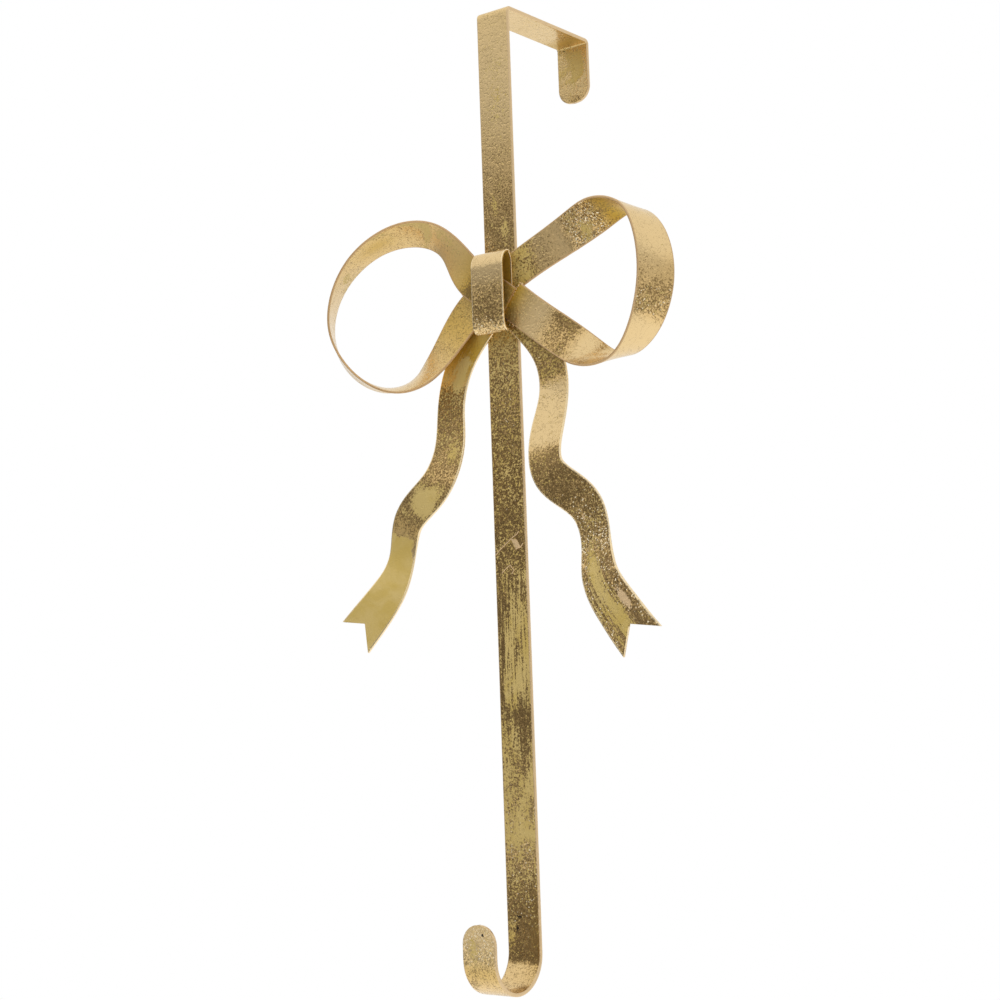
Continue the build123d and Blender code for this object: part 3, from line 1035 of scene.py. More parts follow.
def arm_end(sizes, side, arm, heading):
    """Exit point, outward direction and length of a flat arm end."""
    slope = radians(arm.slope)
    rise = arm.height + heading * arm.start * tan(slope)
    point = bow_point(sizes, side, arm.start, layer(sizes, arm.layer), rise)
    along = np.array([side * cos(slope), 0.0, heading * sin(slope)])
    return point, along, (arm.start + arm.past) / cos(slope)


def rows_of(row, count):
    """The same row repeated."""
    return np.tile(row, (count, 1))


def loop_path(sizes, side, stations, upper, lower):
    """Middle line of one loop, from the end of its upper arm to the end of its lower arm."""
    start, start_along, start_length = arm_end(sizes, side, upper, 1)
    end, end_along, end_length = arm_end(sizes, side, lower, -1)
    points = [start]
    points += [bow_point(sizes, side, *station[:3]) for station in stations]
    points.append(end)
    rolls = [0.0] + [station[3] for station in stations] + [0.0]
    dense, knots = clamped_spline(points, start_along, -end_along)
    lengths = lengths_along(dense)
    roll = side * blend(lengths[knots] / lengths[-1], rolls, lengths / lengths[-1])
    across = across_directions(directions(dense), roll)
    head = straight(start - start_along * start_length, start)
    foot = straight(end - end_along * end_length, end)[::-1]
    turned = [rows_of(across[0], len(head)), across, rows_of(across[-1], len(foot))]
    return Path(np.vstack([head, dense, foot]), np.vstack(turned))


def tail_path(sizes, tail):
    """Middle line of one tail with the ribbon's width along it."""
    points = []
    for number, (outward, forward, drop, _) in enumerate(TAIL):
        forward = layer(sizes, 0) if forward is None else forward
        outward += tail.shift if number else 0.0
        points.append(bow_point(sizes, tail.side, outward, forward, -drop))
    slope = radians(TAIL_ROOT_SLOPE)
    start_along = np.array([tail.side * cos(slope), 0.0, -sin(slope)])
    end_along = points[-1] - points[-2]
    dense, knots = clamped_spline(points, start_along, end_along / np.linalg.norm(end_along))
    lengths = lengths_along(dense)
    station_widths = [station[3] for station in TAIL]
    widths = blend(lengths[knots] / lengths[-1], station_widths, lengths / lengths[-1])
    across = across_directions(directions(dense), np.zeros(len(dense)))
    head = straight(points[0] - start_along * TAIL_ROOT_LENGTH, points[0])
    return Path(
        np.vstack([head, dense]),
        np.vstack([rows_of(across[0], len(head)), across]),
        np.concatenate([np.full(len(head), station_widths[0]), widths]),
    )


def knot_path(sizes):
    """Middle line of the knot band, starting and ending behind it."""
    half = sizes.ribbon_thickness / 2
    face = -sizes.door_gap / 2 - sizes.strap_thickness
    knot = sizes.strap_thickness - sizes.knot_drop

    # The band's back lies one layer in front of the rear arms
    back = layer(sizes, 2)
    back_y, front_y = face - back, face - KNOT_FRONT + half
    top, foot = knot + KNOT_HALF_HEIGHT, knot - KNOT_HALF_HEIGHT
    top_y, foot_y = face - KNOT_TOP_DEPTH, face - KNOT_FOOT_DEPTH
    top_back, top_front = top - KNOT_TOP_BACK_RISE, top - KNOT_TOP_FRONT_RISE
    foot_front, foot_back = foot + KNOT_FOOT_FRONT_RISE, foot + KNOT_FOOT_BACK_RISE
    top_back_radii = (KNOT_TOP_DEPTH - back, KNOT_TOP_BACK_RISE - half)
    top_front_radii = (KNOT_FRONT - KNOT_TOP_DEPTH - half, KNOT_TOP_FRONT_RISE - half)
    foot_front_radii = (KNOT_FRONT - KNOT_FOOT_DEPTH - half, KNOT_FOOT_FRONT_RISE - half)
    foot_back_radii = (KNOT_FOOT_DEPTH - back, KNOT_FOOT_BACK_RISE - half)
    runs = [
        side_run((back_y, knot), (back_y, top_back)),
        arc((top_y, top_back), top_back_radii, start=0, sweep=90, count=40),
        arc((top_y, top_front), top_front_radii, start=90, sweep=90, count=40),
        side_run((front_y, top_front), (front_y, foot_front)),
        arc((foot_y, foot_front), foot_front_radii, start=180, sweep=90, count=50),
        arc((foot_y, foot_back), foot_back_radii, start=270, sweep=90, count=30),
        side_run((back_y, foot_back), (back_y, knot - KNOT_SEAM)),
    ]
    return level_path(np.vstack(runs))


# Flat blanks of the strips


def rim_profile(thickness, radius, segments=4):
    """Points round one edge of a strip: inset from the edge, and place through the strip."""
    angles = np.radians(np.linspace(90, 0, segments + 1))
    inset = radius - radius * np.cos(angles)
    through = thickness / 2 - radius + radius * np.sin(angles)
    return np.concatenate([inset, inset[::-1]]), np.concatenate([through, -through[::-1]])


def make_blank(name, path, shares, columns, half_width, thickness, radius, start_of=None, end_of=None):
    """Flat blank of a strip: X runs along it, Y across and Z through it, in millimetres.

    Columns and rows are shares. A column runs the path's whole length unless
    start_of and end_of say where it starts and ends.
    """
    inset, through = rim_profile(thickness, radius)
    rounded = list(zip(inset[1:-1], through[1:-1]))
    sides = [(share, 0.0, thickness / 2) for share in columns]
    sides += [(1.0, drawn, height) for drawn, height in rounded]
    sides += [(share, 0.0, -thickness / 2) for share in columns[::-1]]
    sides += [(-1.0, drawn, height) for drawn, height in rounded[::-1]]
    ring = len(sides)
    flat = len(columns)
    back_first = flat + len(rounded)
    rows = len(shares)
    place = np.zeros((rows, ring, 3))
    spread = np.zeros((rows, ring))
    for number, (share, drawn, height) in enumerate(sides):
        starts = start_of(share) if start_of else 0.0
        ends = end_of(share) if end_of else path.total
        length = starts + (ends - starts) * np.asarray(shares)
        reach = half_width(length)
        on_face = number < flat or back_first <= number < back_first + flat
        sideways = share * (reach - radius) if on_face else share * (reach - drawn)
        place[:, number, 0] = length
        place[:, number, 1] = sideways
        place[:, number, 2] = height
        spread[:, number] = sideways / reach
    corners = np.arange(rows * ring).reshape(rows, ring)
    following = np.roll(corners, -1, axis=1)
    faces = np.stack([corners[:-1], corners[1:], following[1:], following[:-1]], axis=-1)
    faces = faces.reshape(-1, 4).tolist()
    points = place.reshape(-1, 3)
    spread = spread.reshape(-1)

    # End faces have points of their own, so that the cut edges stay crisp
    for row, turned in ((0, False), (rows - 1, True)):
        base = len(points)
        points = np.vstack([points, place[row]])
        spread = np.concatenate([spread, np.sign(place[row, :, 1])])
        back = [back_first + flat - 1 - k for k in range(flat)]
        strips = [[k, k + 1, back[k + 1], back[k]] for k in range(flat - 1)]
        strips.append(list(range(flat - 1, back_first + 1)))
        strips.append(list(range(back[0], ring)) + [0])
        for strip in strips:
            strip = [base + corner for corner in strip]
            faces.append(strip[::-1] if turned else strip)
    mesh = bpy.data.meshes.new(name)
    mesh.from_pydata((points * MM).tolist(), [], faces)
    mesh.update()
    put_values(mesh, "along", points[:, 0] * MM)
    put_values(mesh, "across", np.clip(spread, -1, 1))
    return mesh


def put_values(mesh, name, values):
    """Store one value for each point of a mesh."""
    stored = mesh.attributes.new(name, "FLOAT", "POINT")
    stored.data.foreach_set("value", np.asarray(values, dtype=np.float32))


def get_values(mesh, name):
    """Stored values of a mesh, one for each point."""
    values = np.zeros(len(mesh.vertices), dtype=np.float32)
    mesh.attributes[name].data.foreach_get("value", values)
    return values.astype(float)


def put_finish(mesh, place, finish, spots=(), inner_painted_reflection=0.0):
    """Store the finish values for each point from its place along the piece.

    Spots are laid over them, and the inner face may be given painted reflection of the gilt.
    """
    across = get_values(mesh, "across")
    rows = sorted(finish)
    marks = [row[0] for row in rows]
    for number, name in enumerate(FINISH_NAMES + SPOT_NAMES):
        if name in SPOT_NAMES:
            values = np.zeros(len(place))
        else:
            values = np.interp(place, marks, [row[number + 1] for row in rows])
        if name == "tone_and_painted_reflection":
            through = np.array([corner.co.z for corner in mesh.vertices])
            values = np.where(through < 0, inner_painted_reflection, values)
        for spot, middle, half_length, side, half_width, amount in spots:
            if spot == name:
                away = ((place - middle) / half_length) ** 2 + ((across - side) / half_width) ** 2
                values = values + amount * np.exp(-away)
        put_values(mesh, name, values)


def heights(mesh, path):
    """Height of the path beside each point of a blank."""
    return np.interp(get_values(mesh, "along") / MM, path.lengths, path.points[:, 2])


# Geometry Nodes trees


def new_tree(name, inputs, output):
    """Tree with named inputs of given kinds and one geometry output, and its input sockets."""
    tree = bpy.data.node_groups.new(name, "GeometryNodeTree")
    for socket, kind in inputs.items():
        tree.interface.new_socket(socket, in_out="INPUT", socket_type="NodeSocket" + kind)
    tree.interface.new_socket(output, in_out="OUTPUT", socket_type="NodeSocketGeometry")
    return tree, add_node(tree, "NodeGroupInput").outputs


def end_tree(tree, geometry, material, output):
    """Smooth the geometry, realize its instances, set its material and hand it out."""
    smooth = add_node(tree, "GeometryNodeSetShadeSmooth", {"Geometry": geometry}).outputs[0]
    whole = add_node(tree, "GeometryNodeRealizeInstances", {"Geometry": smooth}).outputs[0]
    dressed = {"Geometry": whole, "Material": material}
    painted = add_node(tree, "GeometryNodeSetMaterial", dressed).outputs[0]
    add_node(tree, "NodeGroupOutput", {output: painted})


def moved(tree, geometry, offset):
    """Geometry with each point moved by an offset."""
    inputs = {"Geometry": geometry, "Offset": offset}
    return add_node(tree, "GeometryNodeSetPosition", inputs).outputs[0]


def pressed_in(tree, geometry, pattern, depth):
    """Geometry pressed inwards along its normals by a pattern times a depth."""
    inward = maths(tree, "MULTIPLY", maths(tree, "MULTIPLY", pattern, depth), -1.0)
    normal = add_node(tree, "GeometryNodeInputNormal").outputs[0]
    return moved(tree, geometry, vectors(tree, "SCALE", normal, inward))


def position(tree):
    """Position of each point."""
    return add_node(tree, "GeometryNodeInputPosition").outputs[0]


def bend_tree(name):
    """Tree that bends a flat blank along a path and gives it a hammered relief."""
    inputs = {
        "Blank": "Geometry",
        "Path": "Object",
        "Relief Depth": "Float",
        "Relief Scale": "Float",
        "Seed": "Float",
        "Material": "Material",
    }
    tree, given = new_tree(name, inputs, "Strip")
    line = add_node(tree, "GeometryNodeObjectInfo", {"Object": given["Path"]}).outputs["Geometry"]
    curve = add_node(tree, "GeometryNodeMeshToCurve", {"Mesh": line}).outputs[0]
    turn = add_node(
        tree, "GeometryNodeInputNamedAttribute", {"Name": "turn"}, data_type="FLOAT_VECTOR"
    ).outputs[0]
    flat = add_node(tree, "ShaderNodeSeparateXYZ", {0: position(tree)}).outputs
    sample = add_node(tree, "GeometryNodeSampleCurve", mode="LENGTH", data_type="FLOAT_VECTOR")
    plug(tree, sample.inputs["Curves"], curve)
    plug(tree, sample.inputs["Value"], turn)
    plug(tree, sample.inputs["Length"], flat["X"])
    across = vectors(tree, "NORMALIZE", sample.outputs["Value"])
    through = vectors(tree, "CROSS_PRODUCT", sample.outputs["Tangent"], across)
    through = vectors(tree, "NORMALIZE", through)
    spot = vectors(tree, "ADD", sample.outputs["Position"], vectors(tree, "SCALE", across, flat["Y"]))
    spot = vectors(tree, "ADD", spot, vectors(tree, "SCALE", through, flat["Z"]))
    laid = {"Geometry": given["Blank"], "Position": spot}
    bent = add_node(tree, "GeometryNodeSetPosition", laid).outputs[0]
    seeded = vectors(tree, "ADD", position(tree), given["Seed"])
    dents = noise(tree, seeded, scale=given["Relief Scale"])
    hammered = pressed_in(tree, bent, dents, given["Relief Depth"])
    end_tree(tree, hammered, given["Material"], "Strip")
    return tree


def bead_tree(name):
    """Tree that sets drops of braze on points and melts their outlines a little."""
    inputs = {
        "Points": "Geometry",
        "Bead Radius": "Float",
        "Smallest": "Float",
        "Melt": "Float",
        "Seed": "Int",
        "Material": "Material",
    }
    tree, given = new_tree(name, inputs, "Beads")
    ball = {"Radius": given["Bead Radius"], "Subdivisions": 4}
    ball = add_node(tree, "GeometryNodeMeshIcoSphere", ball).outputs["Mesh"]
    drawn = {2: given["Smallest"], 3: 1.0, "Seed": given["Seed"]}
    size = add_node(tree, "FunctionNodeRandomValue", drawn, data_type="FLOAT").outputs[1]
    drops = {"Points": given["Points"], "Instance": ball, "Scale": size}
    beads = add_node(tree, "GeometryNodeInstanceOnPoints", drops).outputs[0]
    whole = add_node(tree, "GeometryNodeRealizeInstances", {"Geometry": beads}).outputs[0]
    lumps = noise(tree, position(tree), scale=900.0)
    depth = maths(tree, "MULTIPLY", given["Bead Radius"], given["Melt"])
    melted = pressed_in(tree, whole, lumps, depth)
    end_tree(tree, melted, given["Material"], "Beads")
    return tree


def leaf_edge_tree(name):
    """Tree that turns lines into thin raised edges of rubbed leaf."""
    inputs = {
        "Lines": "Geometry",
        "Edge Radius": "Float",
        "Step": "Float",
        "Waver": "Float",
        "Material": "Material",
    }
    tree, given = new_tree(name, inputs, "Edges")
    curve = add_node(tree, "GeometryNodeMeshToCurve", {"Mesh": given["Lines"]}).outputs[0]
    even = add_node(tree, "GeometryNodeResampleCurve", mode="LENGTH")
    plug(tree, even.inputs["Curve"], curve)
    plug(tree, even.inputs["Length"], given["Step"])
    ripple = {"Vector": position(tree), "Scale": 700.0}
    ripple = add_node(tree, "ShaderNodeTexNoise", ripple).outputs["Color"]
    shift = vectors(tree, "SUBTRACT", ripple, (0.5, 0.5, 0.5))
    shift = vectors(tree, "SCALE", shift, given["Waver"])
    flat_shift = vectors(tree, "MULTIPLY", shift, (1.0, 0.0, 1.0))
    wavy = moved(tree, even.outputs[0], flat_shift)
    section = {"Resolution": 8, "Radius": given["Edge Radius"]}
    section = add_node(tree, "GeometryNodeCurvePrimitiveCircle", section).outputs[0]
    sweep = {"Curve": wavy, "Profile Curve": section, "Fill Caps": True}
    swept = add_node(tree, "GeometryNodeCurveToMesh", sweep).outputs[0]
    rubbed = {"Geometry": swept, "Name": "bare", "Value": 1.0}
    rubbed = add_node(tree, "GeometryNodeStoreNamedAttribute", rubbed, data_type="FLOAT").outputs[0]
    end_tree(tree, rubbed, given["Material"], "Edges")
    return tree


def shared_tree(name, build):
    """The tree of that name, built on first use."""
    return bpy.data.node_groups.get(name) or build(name)


def bake_nodes(name, source, tree, values):
    """Plain mesh object made by a tree from a source mesh; values are set by input name."""
    carrier = bpy.data.objects.new(name + "_source", source)
    bpy.context.scene.collection.objects.link(carrier)
    modifier = carrier.modifiers.new("Nodes", "NODES")
    modifier.node_group = tree
    for item in tree.interface.items_tree:
        if item.in_out == "INPUT" and item.name in values:
            modifier[item.identifier] = values[item.name]
    bpy.context.view_layer.update()
    graph = bpy.context.evaluated_depsgraph_get()
    mesh = bpy.data.meshes.new_from_object(carrier.evaluated_get(graph), depsgraph=graph)
    if not mesh.polygons:
        raise RuntimeError(name + " came out empty")
    mesh.name = name
    carrier.modifiers.clear()
    bpy.data.objects.remove(carrier)
    piece = bpy.data.objects.new(name, mesh)
    bpy.context.scene.collection.objects.link(piece)
    return piece


def path_object(name, path):
    """Line object that carries a path and the directions across it."""
    mesh = bpy.data.meshes.new(name + "_line")
    count = len(path.points)
    mesh.from_pydata((path.points * MM).tolist(), [(k, k + 1) for k in range(count - 1)], [])
    stored = mesh.attributes.new("turn", "FLOAT_VECTOR", "POINT")
    stored.data.foreach_set("vector", path.across.astype(np.float32).ravel())
    line = bpy.data.objects.new(name + "_line", mesh)
    bpy.context.scene.collection.objects.link(line)
    return line


def make_strip(name, node, blank, path, slot):
    """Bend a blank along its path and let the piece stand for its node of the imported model."""
    sizes = sizes_in_millimetres(bpy.context.scene)
    line = path_object(name, path)
    values = {
        "Path": line,
        "Relief Depth": sizes.relief_depth * MM,
        "Relief Scale": 1 / (sizes.relief_size * MM),
        "Seed": RELIEF_SEEDS[name],
        "Material": shared_material(slot + "_leaf", leaf_material),
    }
    piece = bake_nodes(name, blank, shared_tree("bend_blank_along_path", bend_tree), values)
    bpy.data.objects.remove(line)
    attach(piece, BODY)
    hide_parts(node)


def even_columns(count):
    """Evenly spaced columns across a strip."""
    return np.linspace(-1, 1, count)


def even_shares(length, spacing):
    """Evenly spaced rows along a strip."""
    return np.linspace(0, 1, int(length / spacing) + 1)


def marked_shares(path, spacing, closer):
    """Rows along a strip, set closer together where the path bends hard and at both ends."""
    turn = np.linalg.norm(np.diff(directions(path.points), axis=0), axis=1)
    bend = np.interp(path.lengths, path.lengths[1:], turn / np.diff(path.lengths))
    near_end = np.minimum(path.lengths, path.total - path.lengths) < END_LENGTH
    density = np.where((bend > HARD_BEND) | near_end, closer, 1.0)
    work = np.concatenate([[0.0], np.cumsum(np.diff(path.lengths) * density[1:])])
    wanted = np.linspace(0, work[-1], int(work[-1] / spacing) + 1)
    return np.interp(wanted, work, path.lengths) / path.total


def corner_cut(distance, radius):
    """How much a rounded corner takes off the half width at a distance from the strip's end."""
    inside = np.clip(radius - distance, 0, radius)
    return radius - np.sqrt(radius**2 - inside**2)


# Pieces


class HANGER_OT_strap(bpy.types.Operator):
    """Make the strap with its door hook and wreath hook"""

    bl_idname = "hanger.strap"
    bl_label = "Strap"

    def execute(self, context):
        sizes = sizes_in_millimetres(context.scene)
        path = strap_path(sizes)
        half = sizes.strap_width / 2
        lip_corner = half - LIP_TOP_FLAT / 2

        def half_width(length):
            rear_cut = corner_cut(length, REAR_CORNER)
            lip_cut = corner_cut(path.total - length, lip_corner)
            return half - np.maximum(rear_cut, lip_cut)

        blank = make_blank(
            "strap_blank",
            path,
            marked_shares(path, STRAP_ROW_SPACING, CLOSER_ROWS),
            even_columns(STRIP_COLUMNS),
            half_width,
            sizes.strap_thickness,
            sizes.strap_rim,
        )
        front_y = -sizes.door_gap / 2 - sizes.strap_thickness / 2
        front = path.lengths[np.argmax(path.points[:, 1] < front_y + SAME_PLACE)]
        developed = front - get_values(blank, "along") / MM
        put_finish(blank, developed, STRAP_FINISH, STRAP_SPOTS)
        make_strip("strap", "hanger_strap", blank, path, STRAP_SLOT)
        return {"FINISHED"}


class HANGER_OT_loops(bpy.types.Operator):
    """Make the two loops of the bow"""

    bl_idname = "hanger.loops"
    bl_label = "Loops"

    def execute(self, context):
        sizes = sizes_in_millimetres(context.scene)
        for name, side, stations, upper, lower, finish, spots in LOOPS:
            path = loop_path(sizes, side, stations, upper, lower)
            blank = make_blank(
                name + "_loop_blank",
                path,
                even_shares(path.total, RIBBON_ROW_SPACING),
                even_columns(STRIP_COLUMNS),
                lambda length: np.full_like(length, sizes.ribbon_width / 2),
                sizes.ribbon_thickness,
                sizes.ribbon_rim,
            )
            share_along = get_values(blank, "along") / MM / path.total
            put_finish(blank, share_along, finish, spots)
            make_strip("loop_" + name, "bow_loop_" + name, blank, path, RIBBON_SLOT)
        return {"FINISHED"}


class HANGER_OT_tails(bpy.types.Operator):
    """Make the two forked tails of the bow"""

    bl_idname = "hanger.tails"
    bl_label = "Tails"

    def execute(self, context):
        sizes = sizes_in_millimetres(context.scene)
        knot = sizes.strap_thickness - sizes.knot_drop
        for name, tail, finish, spots in TAILS:
            path = tail_path(sizes, tail)
            samples = np.linspace(0, path.total, CUT_SAMPLES)
            reach = path.half_width(samples)

            def start_of(share):
                places = path.at(samples, share * reach)
                return samples[np.argmax(tail.side * places[:, 0] > TAIL_ROOT_GAP)]

            def end_of(share):
                places = path.at(samples, share * reach)
                out = tail.side * places[:, 0] - tail.notch[0]
                down = places[:, 2] - (knot - tail.notch[1])
                below_outer = down < -out * tan(radians(tail.outer_slope))
                beyond_inner = out > down * tan(radians(FORK_INNER_SLOPE))
                cut = below_outer & beyond_inner
                return samples[np.argmax(cut)] if cut.any() else path.total

            # The nearest column is moved to the bottom of the notch
            columns = even_columns(TAIL_COLUMNS)
            tried = np.linspace(-0.9, 0.9, NOTCH_TRIES)
            deepest = tried[np.argmin([end_of(share) for share in tried])]
            columns[np.argmin(np.abs(columns - deepest))] = deepest
            blank = make_blank(
                name + "_tail_blank",
                path,
                even_shares(path.total, RIBBON_ROW_SPACING),
                columns,
                path.half_width,
                sizes.ribbon_thickness,
                sizes.ribbon_rim,
                start_of,
                end_of,
            )
            put_finish(blank, heights(blank, path), finish, spots)
            make_strip("tail_" + name, "bow_tail_" + name, blank, path, RIBBON_SLOT)
        return {"FINISHED"}


class HANGER_OT_knot(bpy.types.Operator):
    """Make the knot band of the bow"""

    bl_idname = "hanger.knot"
    bl_label = "Knot Band"

    def execute(self, context):
        sizes = sizes_in_millimetres(context.scene)
        path = knot_path(sizes)
        blank = make_blank(
            "knot_blank",
            path,
            even_shares(path.total, KNOT_ROW_SPACING),
            even_columns(STRIP_COLUMNS),
            lambda length: np.full_like(length, sizes.knot_width / 2),
            sizes.ribbon_thickness,
            sizes.ribbon_rim,
        )
        # The knot's inner face is given painted reflection of the gilt inside the knot
        put_finish(blank, heights(blank, path), KNOT_FINISH, KNOT_SPOTS, inner_painted_reflection=1.0)
        make_strip("knot_band", "bow_knot_band", blank, path, RIBBON_SLOT)
        return {"FINISHED"}


class HANGER_OT_welds(bpy.types.Operator):
    """Make the drops of braze that join the bow to the strap"""

    bl_idname = "hanger.welds"
    bl_label = "Weld Beads"

    def execute(self, context):
        sizes = sizes_in_millimetres(context.scene)
        points = bpy.data.meshes.new("weld_points")
        points.from_pydata((np.array(WELD_SPOTS) * MM).tolist(), [], [])
        values = {
            "Bead Radius": sizes.bead_radius * MM,
            "Smallest": SMALLEST_BEAD,
            "Melt": BEAD_MELT,
            "Seed": BEAD_SEED,
            "Material": shared_material("braze_drops", weld_material),
        }
        tree = shared_tree("weld_beads_on_points", bead_tree)
        piece = bake_nodes("weld_beads", points, tree, values)
        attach(piece, BODY)
        return {"FINISHED"}


class HANGER_OT_leaf_edges(bpy.types.Operator):
    """Make the raised leaf edges and the loose flake on the strap"""

    bl_idname = "hanger.leaf_edges"
    bl_label = "Leaf Edges"

    def execute(self, context):
        sizes = sizes_in_millimetres(context.scene)
        material = shared_material(STRAP_SLOT + "_leaf", leaf_material)
        face = -sizes.door_gap / 2 - sizes.strap_thickness

        def on_face(line, forward=0.0):
            return [(across * MM, (face - forward) * MM, height * MM) for across, height in line]

        spots = []
        links = []
        for line in LEAF_EDGES:
            links += [(len(spots) + k, len(spots) + k + 1) for k in range(len(line) - 1)]
            spots += on_face(line)
        lines = bpy.data.meshes.new("leaf_edge_lines")
        lines.from_pydata(spots, links, [])
        values = {
            "Edge Radius": sizes.leaf_edge * MM,
            "Step": LEAF_EDGE_STEP * MM,
            "Waver": LEAF_EDGE_WAVER * MM,
            "Material": material,
        }
        tree = shared_tree("leaf_edges_on_lines", leaf_edge_tree)
        edges = bake_nodes("leaf_edges", lines, tree, values)

        # The flake stands a little proud of the strap, and its sides go into it
        count = len(LEAF_FLAKE)
        corners = on_face(LEAF_FLAKE, FLAKE_LIFT) + on_face(LEAF_FLAKE, -FLAKE_SINK)
        sides = [(k, (k + 1) % count, count + (k + 1) % count, count + k) for k in range(count)]
        mesh = bpy.data.meshes.new("leaf_flake")
        mesh.from_pydata(corners, [], [tuple(range(count))[::-1], *sides])
        put_values(mesh, "bare", np.full(2 * count, FLAKE_BARE))
        mesh.materials.append(material)
        flake = bpy.data.objects.new("leaf_flake", mesh)
        context.scene.collection.objects.link(flake)
        for piece in (edges, flake):
            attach(piece, BODY)
        return {"FINISHED"}


class HANGER_OT_stage(bpy.types.Operator):
    """Set up the floor, the lamps, the world and the camera"""

    bl_idname = "hanger.stage"
    bl_label = "Stage"

    def execute(self, context):
        settings = context.scene.hanger_stage
        make_floor(context.scene, settings)
        make_world(context.scene, settings)
        add_softbox(context.scene, settings)
        make_camera(context.scene, settings)
        context.scene.view_settings.view_transform = "Standard"
        return {"FINISHED"}


# Stage


def make_floor(scene, settings):
    """Pale floor that reads as white and keeps the shadow."""
    height = -settings.floor_drop
    mesh = bpy.data.meshes.new("floor")
    signs = [(-1, -1), (1, -1), (1, 1), (-1, 1)]
    mesh.from_pydata([(x * FLOOR_REACH, y * FLOOR_REACH, height) for x, y in signs], [], [(0, 1, 2, 3)])
    floor = bpy.data.objects.new("floor", mesh)
    scene.collection.objects.link(floor)
    material = new_material("pale_floor")
    tree = material.node_tree
    rays = add_node(tree, "ShaderNodeLightPath").outputs
    camera = rays["Is Camera Ray"]
    shown = maths(tree, "MAXIMUM", camera, rays["Is Glossy Ray"])
    shown = maths(tree, "MAXIMUM", shown, rays["Is Transmission Ray"])

    # The floor glows a little where it is seen, and most for the camera
    glow_level = maths(tree, "MULTIPLY_ADD", camera, 0.65, maths(tree, "MULTIPLY", shown, 0.22))
    glow = add_node(tree, "ShaderNodeEmission", {"Color": WHITE, "Strength": glow_level}).outputs[0]
    diffuse = add_node(tree, "ShaderNodeBsdfDiffuse", {"Color": rgba((0.85, 0.85, 0.85))}).outputs[0]
    both = add_node(tree, "ShaderNodeAddShader", {0: diffuse, 1: glow}).outputs[0]
    add_node(tree, "ShaderNodeOutputMaterial", {"Surface": both})
    mesh.materials.append(material)


def make_world(scene, settings):
    """White surroundings behind and above, and a darker room in front at eye height."""
    world = bpy.data.worlds.new("studio")
    world.use_nodes = True
    tree = world.node_tree
    tree.nodes.clear()
    heading = add_node(tree, "ShaderNodeTexCoord").outputs["Generated"]
    parts = add_node(tree, "ShaderNodeSeparateXYZ", {0: heading}).outputs

    # Bright for steep rays, for rays from behind and for a card on the right
    steep = step_between(tree, maths(tree, "ABSOLUTE", parts["Z"]), 0.16, 0.42)
    behind = step_between(tree, parts["Y"], 0.2, 0.75)
    card = maths(tree, "MULTIPLY", step_between(tree, parts["X"], 0.35, 0.75), settings.card)
    bright = maths(tree, "MAXIMUM", maths(tree, "MAXIMUM", steep, behind), card)
    level = mix_value(tree, bright, settings.room, settings.surround)
    camera = add_node(tree, "ShaderNodeLightPath").outputs["Is Camera Ray"]
    strength = mix_value(tree, camera, level, 1.0)
    light = {"Color": WHITE, "Strength": strength}
    background = add_node(tree, "ShaderNodeBackground", light).outputs[0]
    add_node(tree, "ShaderNodeOutputWorld", {"Surface": background})
    scene.world = world


def add_softbox(scene, settings):
    """Square softbox above that faces the hanger."""
    lamp = bpy.data.lights.new("top_softbox", "AREA")
    lamp.shape = "SQUARE"
    lamp.size = SOFTBOX_SIZE
    lamp.energy = settings.top_light
    softbox = bpy.data.objects.new("top_softbox", lamp)
    softbox.location = SOFTBOX_PLACE
    aim = Vector(SOFTBOX_TARGET) - Vector(SOFTBOX_PLACE)
    softbox.rotation_euler = aim.to_track_quat("-Z", "Y").to_euler()
    softbox.visible_glossy = False
    scene.collection.objects.link(softbox)


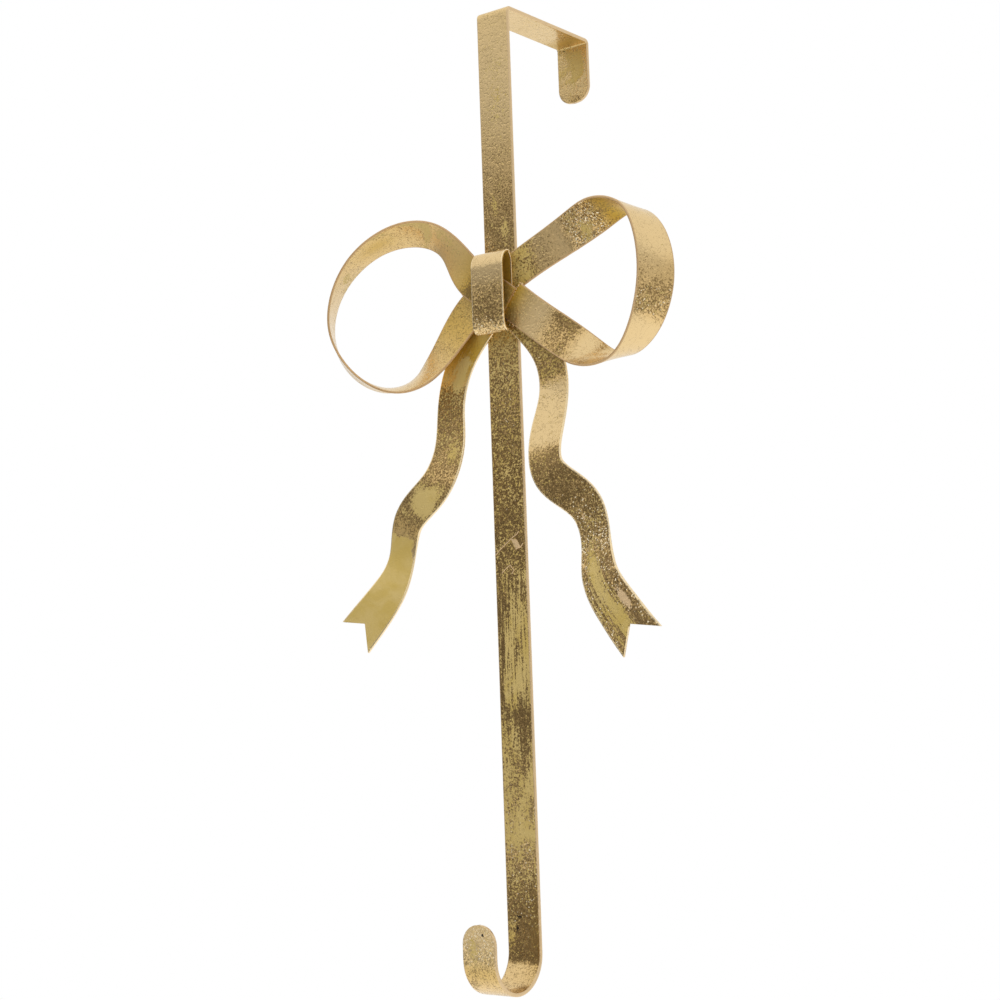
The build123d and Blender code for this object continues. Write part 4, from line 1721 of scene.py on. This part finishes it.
def make_camera(scene, settings):
    """Camera a little below the bow and to its right."""
    azimuth, elevation, roll = map(radians, (CAMERA_AZIMUTH, CAMERA_ELEVATION, CAMERA_ROLL))
    target = Vector(CAMERA_TARGET) * MM
    back = Vector(
        (sin(azimuth) * cos(elevation), -cos(azimuth) * cos(elevation), sin(elevation))
    )
    level = Vector((cos(azimuth), sin(azimuth), 0.0))
    upward = back.cross(level)
    right = cos(roll) * level + sin(roll) * upward
    up = cos(roll) * upward - sin(roll) * level
    data = bpy.data.cameras.new("camera")
    data.sensor_width = 36.0
    data.lens = settings.lens
    data.clip_start = 0.01
    camera = bpy.data.objects.new("camera", data)
    turn = Matrix((right, up, back)).transposed().to_4x4()
    camera.matrix_world = Matrix.Translation(target + back * CAMERA_DISTANCE * MM) @ turn
    scene.collection.objects.link(camera)
    scene.camera = camera


class HANGER_PT_panel(bpy.types.Panel):
    """Sidebar list of the hanger's pieces"""

    bl_idname = "HANGER_PT_panel"
    bl_label = "Wreath Hanger"
    bl_space_type = "VIEW_3D"
    bl_region_type = "UI"
    bl_category = "Hanger"

    def draw(self, context):
        for maker in OPERATORS:
            self.layout.operator(maker.bl_idname)
        for name in SETTINGS:
            box = self.layout.box()
            settings = getattr(context.scene, name)
            for field in settings.bl_rna.properties:
                if field.identifier not in ("rna_type", "name"):
                    box.prop(settings, field.identifier)


OPERATORS = (
    HANGER_OT_strap,
    HANGER_OT_loops,
    HANGER_OT_tails,
    HANGER_OT_knot,
    HANGER_OT_welds,
    HANGER_OT_leaf_edges,
    HANGER_OT_stage,
)
SETTINGS = {
    "hanger_sizes": HangerSizes,
    "hanger_finish": HangerFinish,
    "hanger_stage": HangerStage,
}


def register():
    """Register the classes and hang the settings on the scene."""
    for group in SETTINGS.values():
        bpy.utils.register_class(group)
    for name, group in SETTINGS.items():
        setattr(bpy.types.Scene, name, bpy.props.PointerProperty(type=group))
    for maker in OPERATORS:
        bpy.utils.register_class(maker)
    bpy.utils.register_class(HANGER_PT_panel)


def unregister():
    """Remove the classes and the settings."""
    bpy.utils.unregister_class(HANGER_PT_panel)
    for maker in reversed(OPERATORS):
        bpy.utils.unregister_class(maker)
    for name in SETTINGS:
        delattr(bpy.types.Scene, name)
    for group in reversed(list(SETTINGS.values())):
        bpy.utils.unregister_class(group)


def main():
    """Build the pieces and the stage in order."""
    register()
    bpy.ops.hanger.strap()
    bpy.ops.hanger.loops()
    bpy.ops.hanger.tails()
    bpy.ops.hanger.knot()
    bpy.ops.hanger.welds()
    bpy.ops.hanger.leaf_edges()
    bpy.ops.hanger.stage()


if __name__ == "__main__":
    main()
